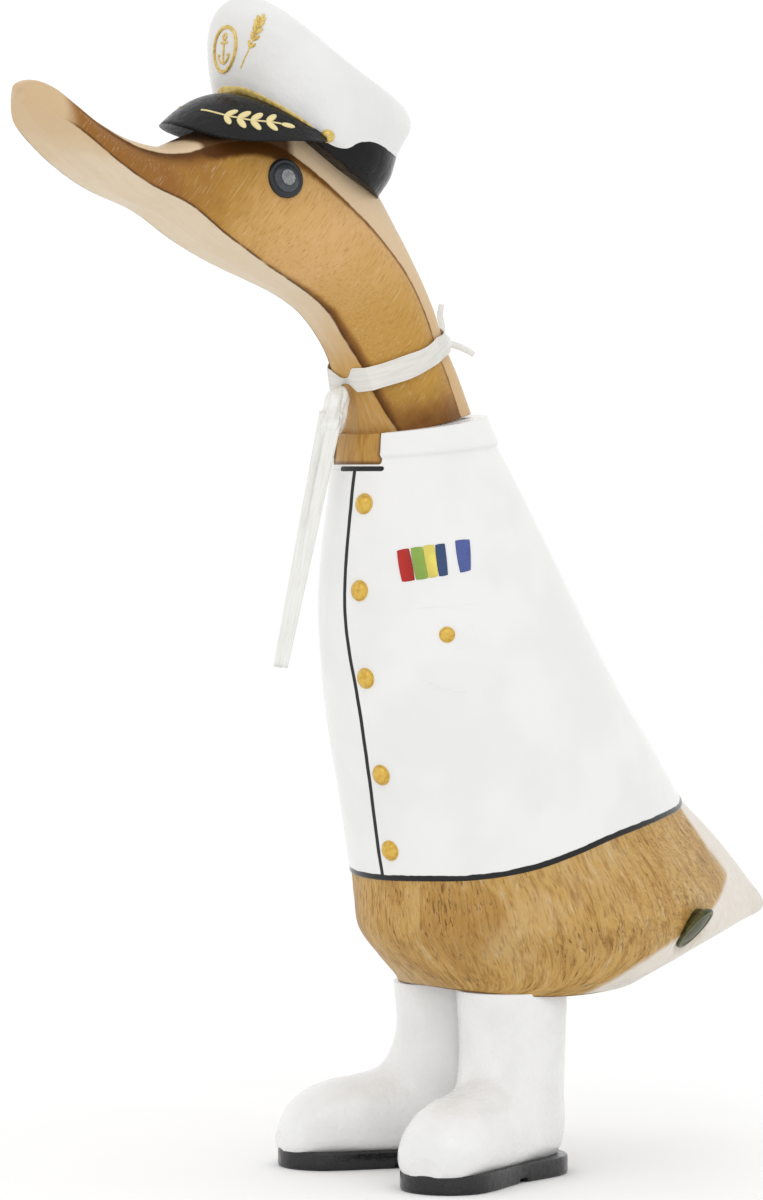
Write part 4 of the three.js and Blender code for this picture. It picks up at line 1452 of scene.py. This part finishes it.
def eye_profile(radius):
    dome = [[0.74 * math.cos(a), 0.62 + 1.15 * math.sin(a)] for a in np.linspace(0.05, 1.54, 26)]
    return [[radius * share, height] for share, height in EYE_RIM + dome]


def stud_profile(radius):
    dome = [[0.76 * (1 - v), 0.8 + 0.75 * (1 - (1 - v) ** 2)] for v in np.linspace(0.02, 0.97, 20)]
    return [[radius * share, height] for share, height in STUD_RIM + dome]


class DUCK_OT_eyes(bpy.types.Operator):
    """Set the two round eyes in the sides of the head"""

    bl_idname = "duck.eyes"
    bl_label = "Eyes"

    def execute(self, context):
        radius = context.scene.duck_trim.eye_radius / MM
        head = tree_over(bpy.data.meshes["carved_head"])
        glass = glass_eye()
        for side, name in ((1, "eye_left"), (-1, "eye_right")):
            mesh = turned_disc(name, eye_profile(radius), *from_side(head, side, **EYE_AT))
            piece(f"glass_{name}", mesh, "eye", name, materials=[glass])
        return {"FINISHED"}


class DUCK_OT_stud(bpy.types.Operator):
    """Set the round blank stud in the left side of the tail"""

    bl_idname = "duck.stud"
    bl_label = "Stud"

    def execute(self, context):
        trim = context.scene.duck_trim
        profile = stud_profile(trim.stud_radius / MM)
        mesh = turned_disc("bronze_stud", profile, to_metres(STUD_AT["centre"]), Vector(STUD_AT["faces"]))
        piece("bronze_stud", mesh, "stud", "tail_stud", materials=[bronze_patina(trim)])
        return {"FINISHED"}


class DUCK_OT_buttons(bpy.types.Operator):
    """Lay the gilt buttons down the front and on the pocket's flap"""

    bl_idname = "duck.buttons"
    bl_label = "Buttons"

    def execute(self, context):
        trim = context.scene.duck_trim
        torso = tree_over(bpy.data.meshes["carved_torso"])
        recipe = button_recipe()
        brass = gold_paint("gilt_brass", trim.gilt, (0.8, 0.72, 0.5), 0.9, 0.4, (0.22, 0.38), 0.15, 0.55)
        rows = {
            "coat_buttons": (COAT_BUTTONS, trim.button_radius, [f"coat_button_{k}" for k in range(1, 6)]),
            "flap_button": ([POCKET_BUTTON], trim.pocket_button_radius, ["pocket_button"]),
        }
        for name, (spots, radius, nodes) in rows.items():
            points = laid_points(name, [(*from_front(torso, *spot), UP) for spot in spots])
            shape = {key: share * radius for key, share in BUTTON_SHAPE.items()}
            mesh = recipe.run(name, points, brass, Radius=radius, **shape)
            piece(name, mesh, "button", *nodes)
        return {"FINISHED"}


def bar_mesh(name, torso, corners):
    """A pad of thick paint laid on the coat between four corners, in [X, Z], domed and soft at its edges."""
    a, b, c, d = (np.array(corner, float) for corner in corners)
    edge = np.concatenate([[0, 0.02, 0.07], np.linspace(0.15, 0.85, 8), [0.93, 0.98, 1]])
    count = len(edge)
    grid = np.zeros((count, count, 2, 3))
    for i, u in enumerate(edge):
        for j, v in enumerate(edge):
            share_u = 0.5 + (u - 0.5) * math.sqrt(1 - 0.7 * (v - 0.5) ** 2)
            share_v = 0.5 + (v - 0.5) * math.sqrt(1 - 0.25 * (u - 0.5) ** 2)
            x, z = part_way(part_way(a, b, share_u), part_way(d, c, share_u), share_v)
            point, normal = from_front(torso, x, z)
            rise = BAR_THICK * (16 * u * (1 - u) * v * (1 - v)) ** 0.25
            grid[i, j] = [to_millimetres(point) + np.array(normal) * height for height in (-BAR_DEEP, rise)]
    rim = [(i, 0) for i in range(count)] + [(count - 1, j) for j in range(1, count)]
    rim += [(i, count - 1) for i in range(count - 2, -1, -1)] + [(0, j) for j in range(count - 2, 0, -1)]

    def index(i, j, layer):
        return (i * count + j) * 2 + layer

    faces = []
    for i in range(count - 1):
        for j in range(count - 1):
            faces.append([index(i, j, 1), index(i, j + 1, 1), index(i + 1, j + 1, 1), index(i + 1, j, 1)])
            faces.append([index(i, j, 0), index(i + 1, j, 0), index(i + 1, j + 1, 0), index(i, j + 1, 0)])
    for (i, j), (k, m) in zip(rim, rim[1:] + rim[:1]):
        faces.append([index(i, j, 0), index(i, j, 1), index(k, m, 1), index(k, m, 0)])
    mesh = bpy.data.meshes.new(name)
    mesh.from_pydata(to_metres(grid.reshape(-1, 3)).tolist(), [], faces)
    mesh.shade_smooth()
    return mesh


class DUCK_OT_medal_bars(bpy.types.Operator):
    """Lay the five bars of thick coloured paint on the breast"""

    bl_idname = "duck.medal_bars"
    bl_label = "Medal bars"

    def execute(self, context):
        torso = tree_over(bpy.data.meshes["carved_torso"])
        for name, corners in BARS.items():
            paint = gloss_paint(f"{name}_paint", BAR_COLOURS[name], 0.22, 0.3, 0.72)
            piece(name, bar_mesh(name, torso, corners), "carved_wood", materials=[paint])
        return {"FINISHED"}


# The ribbon


def ribbon_section(wide, thick, count=18):
    """A ribbon's section as [across, out] points, rounded at its edges."""
    cosine, sine = np.cos(angles_round(count)), np.sin(angles_round(count))
    return np.stack([wide / 2 * np.sign(cosine) * np.abs(cosine) ** 0.35, thick / 2 * sine], axis=1)


def ribbon_loop_mesh():
    """The loop round the neck, drawn narrower where it meets the knot at the throat."""
    sides = 240
    every = np.ones(sides)
    rings, weave = [], []
    for across, out in ribbon_section(2.0, 1.0)[::-1]:
        proud = GAP + 0.5 + LOOP["thick"] * out
        edge, middle = (ring_at(RIBBON, t, sides, proud) for t in (0.5 + across * 0.5, 0.5))
        reach = np.where(edge[:, 0] > 0, 3.4, 8)
        drawn_in = 1 - 0.75 * (1 - step_up(np.abs(edge[:, 0]) / reach, 0.1, 1)) * (edge[:, 1] < 0)
        wave = LOOP["wave"] * np.sin(LOOP["waves"] * angles_round(sides)) * across
        rings.append(middle + (edge - middle) * drawn_in[:, None] + wave[:, None] * [0, 0, 1])
        along = np.arange(sides) * LOOP["weave_step"]
        weave.append(np.column_stack([along, across * 2.4 * every, 0 * every]))
    return skin("ribbon_loop", rings, {"weave": weave}, joined=True)


def knot_mesh(name, centre, radii, lean, folds, taper):
    """A knot drawn into folds that wind round it, narrower below where it has a taper."""
    rows, sides = 56, 72
    rings, weave = [], []
    round_ = angles_round(sides)
    for v in np.linspace(0.03, 0.97, rows):
        fold = 1 + 0.1 * np.sin(folds * round_ + 7 * v) + 0.05 * np.sin(9 * round_ - 11 * v)
        lump = 1 + 0.07 * math.sin(19 * v)
        across = math.sin(math.pi * v) ** 0.8 * fold * lump * (1 - taper * (1 - v))
        x, y = radii[0] * across * np.cos(round_), radii[1] * across * np.sin(round_)
        up = -radii[2] * math.cos(math.pi * v)
        rings.append(np.column_stack([x + lean[0] * up, y + lean[1] * up, np.full(sides, up)]) + centre)
        weave.append(np.column_stack([round_ * radii[0], np.full(sides, 4 * v - 2), np.zeros(sides)]))
    return skin(name, rings, {"weave": weave})


def strip_mesh(name, line, across_way, wide, thick, curl, end):
    """A flat strip that follows a line. Curl bends it across, and it ends at a share of its width."""
    line = np.asarray(line, float)
    ahead = np.gradient(line, axis=0)
    ahead /= np.linalg.norm(ahead, axis=1, keepdims=True)
    side = np.asarray(across_way, float) * np.ones_like(line)
    side -= (side * ahead).sum(axis=1, keepdims=True) * ahead
    side /= np.linalg.norm(side, axis=1, keepdims=True)
    out = np.cross(side, ahead)
    along = np.concatenate([[0], np.cumsum(np.linalg.norm(np.diff(line, axis=0), axis=1))])
    rings, weave = [], []
    for k, point in enumerate(line):
        section = ribbon_section(wide * (1 + (end - 1) * along[k] / along[-1]), thick, 24)
        rings.append([point + side[k] * a + out[k] * (o + curl * a * a) for a, o in section])
        weave.append([[along[k], a, 0] for a, _ in section])
    return skin(name, rings, {"weave": weave})


def one_mesh(name, *meshes):
    """Several meshes as one."""
    builder = bmesh.new()
    for mesh in meshes:
        builder.from_mesh(mesh)
    whole = bpy.data.meshes.new(name)
    builder.to_mesh(whole)
    builder.free()
    return whole


class DUCK_OT_ribbon(bpy.types.Operator):
    """Tie the satin ribbon round the neck, with its knots and its hanging end"""

    bl_idname = "duck.ribbon"
    bl_label = "Ribbon"

    def execute(self, context):
        trim = context.scene.duck_trim
        cloth = satin("ivory_satin", trim.ribbon)
        pale_cloth = satin("pale_satin", trim.ribbon_end)
        piece("ribbon_loop", ribbon_loop_mesh(), "ribbon", "neck_ribbon", materials=[cloth])
        for name, knot in KNOTS.items():
            piece(name, knot_mesh(name, **knot), "ribbon", materials=[pale_cloth])
        for name, (line, way) in NAPE_ENDS.items():
            line = [along_line(line, t) for t in np.linspace(0, len(line) - 1, 30)]
            piece(name, strip_mesh(name, line, across_way=way, **NAPE_END), "ribbon", materials=[pale_cloth])
        top, bottom = (np.array(RIBBON_TAIL[key], float) for key in ("top", "bottom"))
        wide = RIBBON_TAIL["wide"]
        share = np.linspace(0, 1, 60)[:, None]
        line = part_way(top, bottom, share)
        strips = []
        for side in (1, -1):
            spread = 0.2 * wide * (1 - 0.4 * share) * side
            sway = 0.3 * side * (1 + np.sin(2 * math.pi * share))
            strip = line + [0.6, 0.8, 0] * spread + [0.8, -0.6, 0] * sway
            flat = [0.6, 0.8, 0.1 * side]
            strips.append(strip_mesh("strip", strip, flat, STRIP_SHARE * wide, 0.5, 0.08 * side, 0.6))
        mesh = one_mesh("hanging_end", *strips)
        tail = piece("hanging_end", mesh, "ribbon", "ribbon_tail", materials=[pale_cloth])
        return {"FINISHED"}


# The stage


def aim(obj, place, way):
    """Put a camera or light at a place, looking one way."""
    obj.location = place
    obj.rotation_euler = way.to_track_quat("-Z", "Y").to_euler()


def floor_paper(base):
    paper = Finish("pale_floor")
    place = paper.add("ShaderNodeTexCoord").outputs["Object"]
    return paper.shade(paper.over(base, dimmed(base, 0.985), paper.noise(place, 18), 0.3, 0.7), 0.9)


class DUCK_OT_stage(bpy.types.Operator):
    """Set up the pale floor, the soft light and the camera"""

    bl_idname = "duck.stage"
    bl_label = "Stage"

    def execute(self, context):
        stage = context.scene.duck_stage
        mesh = bpy.data.meshes.new("floor")
        angles = angles_round(FLOOR["sides"])
        rim = FLOOR["radius"] * np.column_stack([np.cos(angles), np.sin(angles), 0 * angles])
        mesh.from_pydata(rim.tolist(), [], [list(range(FLOOR["sides"]))])
        mesh.materials.append(floor_paper(stage.floor))
        floor = linked("floor", mesh)
        world = bpy.data.worlds.new("studio")
        world.use_nodes = True
        sky = world.node_tree.nodes["Background"]
        sky.inputs["Color"].default_value = (1, 1, 1, 1)
        sky.inputs["Strength"].default_value = stage.sky
        context.scene.world = world
        target = Vector(CAMERA_AT["target"])
        light = bpy.data.lights.new("key", "AREA")
        light.size = KEY_LIGHT["size"]
        light.energy = stage.key
        aim(linked("key", light), KEY_LIGHT["place"], target - Vector(KEY_LIGHT["place"]))
        azimuth, elevation = (math.radians(CAMERA_AT[key]) for key in ("azimuth", "elevation"))
        level = Vector((math.sin(azimuth), -math.cos(azimuth), 0))
        back = level * math.cos(elevation) + UP * math.sin(elevation)
        camera = bpy.data.cameras.new("camera")
        camera.lens = LENS
        camera.clip_start = 0.01
        context.scene.camera = linked("camera", camera)
        aim(context.scene.camera, target + back * CAMERA_AT["distance"], -back)
        context.scene.view_settings.view_transform = "Standard"
        return {"FINISHED"}


class DUCK_PT_panel(bpy.types.Panel):
    bl_idname = "DUCK_PT_panel"
    bl_label = "Carved officer duck"
    bl_space_type = "VIEW_3D"
    bl_region_type = "UI"
    bl_category = "Duck"

    def draw(self, context):
        for maker in MAKERS:
            self.layout.operator(maker.bl_idname)
        for group in (context.scene.duck_carving, context.scene.duck_trim, context.scene.duck_stage):
            for key in group.__annotations__:
                self.layout.prop(group, key)


MAKERS = (
    DUCK_OT_carving,
    DUCK_OT_cap,
    DUCK_OT_gold,
    DUCK_OT_boots,
    DUCK_OT_eyes,
    DUCK_OT_stud,
    DUCK_OT_buttons,
    DUCK_OT_medal_bars,
    DUCK_OT_ribbon,
    DUCK_OT_stage,
)
SETTINGS = {"duck_carving": CarvingSettings, "duck_trim": TrimSettings, "duck_stage": StageSettings}


def register():
    for group in (*SETTINGS.values(), *MAKERS, DUCK_PT_panel):
        bpy.utils.register_class(group)
    for name, group in SETTINGS.items():
        setattr(bpy.types.Scene, name, PointerProperty(type=group))


def unregister():
    for name in SETTINGS:
        delattr(bpy.types.Scene, name)
    for group in reversed((*SETTINGS.values(), *MAKERS, DUCK_PT_panel)):
        bpy.utils.unregister_class(group)


def main():
    register()
    bpy.ops.duck.carving()
    bpy.ops.duck.cap()
    bpy.ops.duck.gold()
    bpy.ops.duck.boots()
    bpy.ops.duck.eyes()
    bpy.ops.duck.stud()
    bpy.ops.duck.buttons()
    bpy.ops.duck.medal_bars()
    bpy.ops.duck.ribbon()
    bpy.ops.duck.stage()


if __name__ == "__main__":
    main()
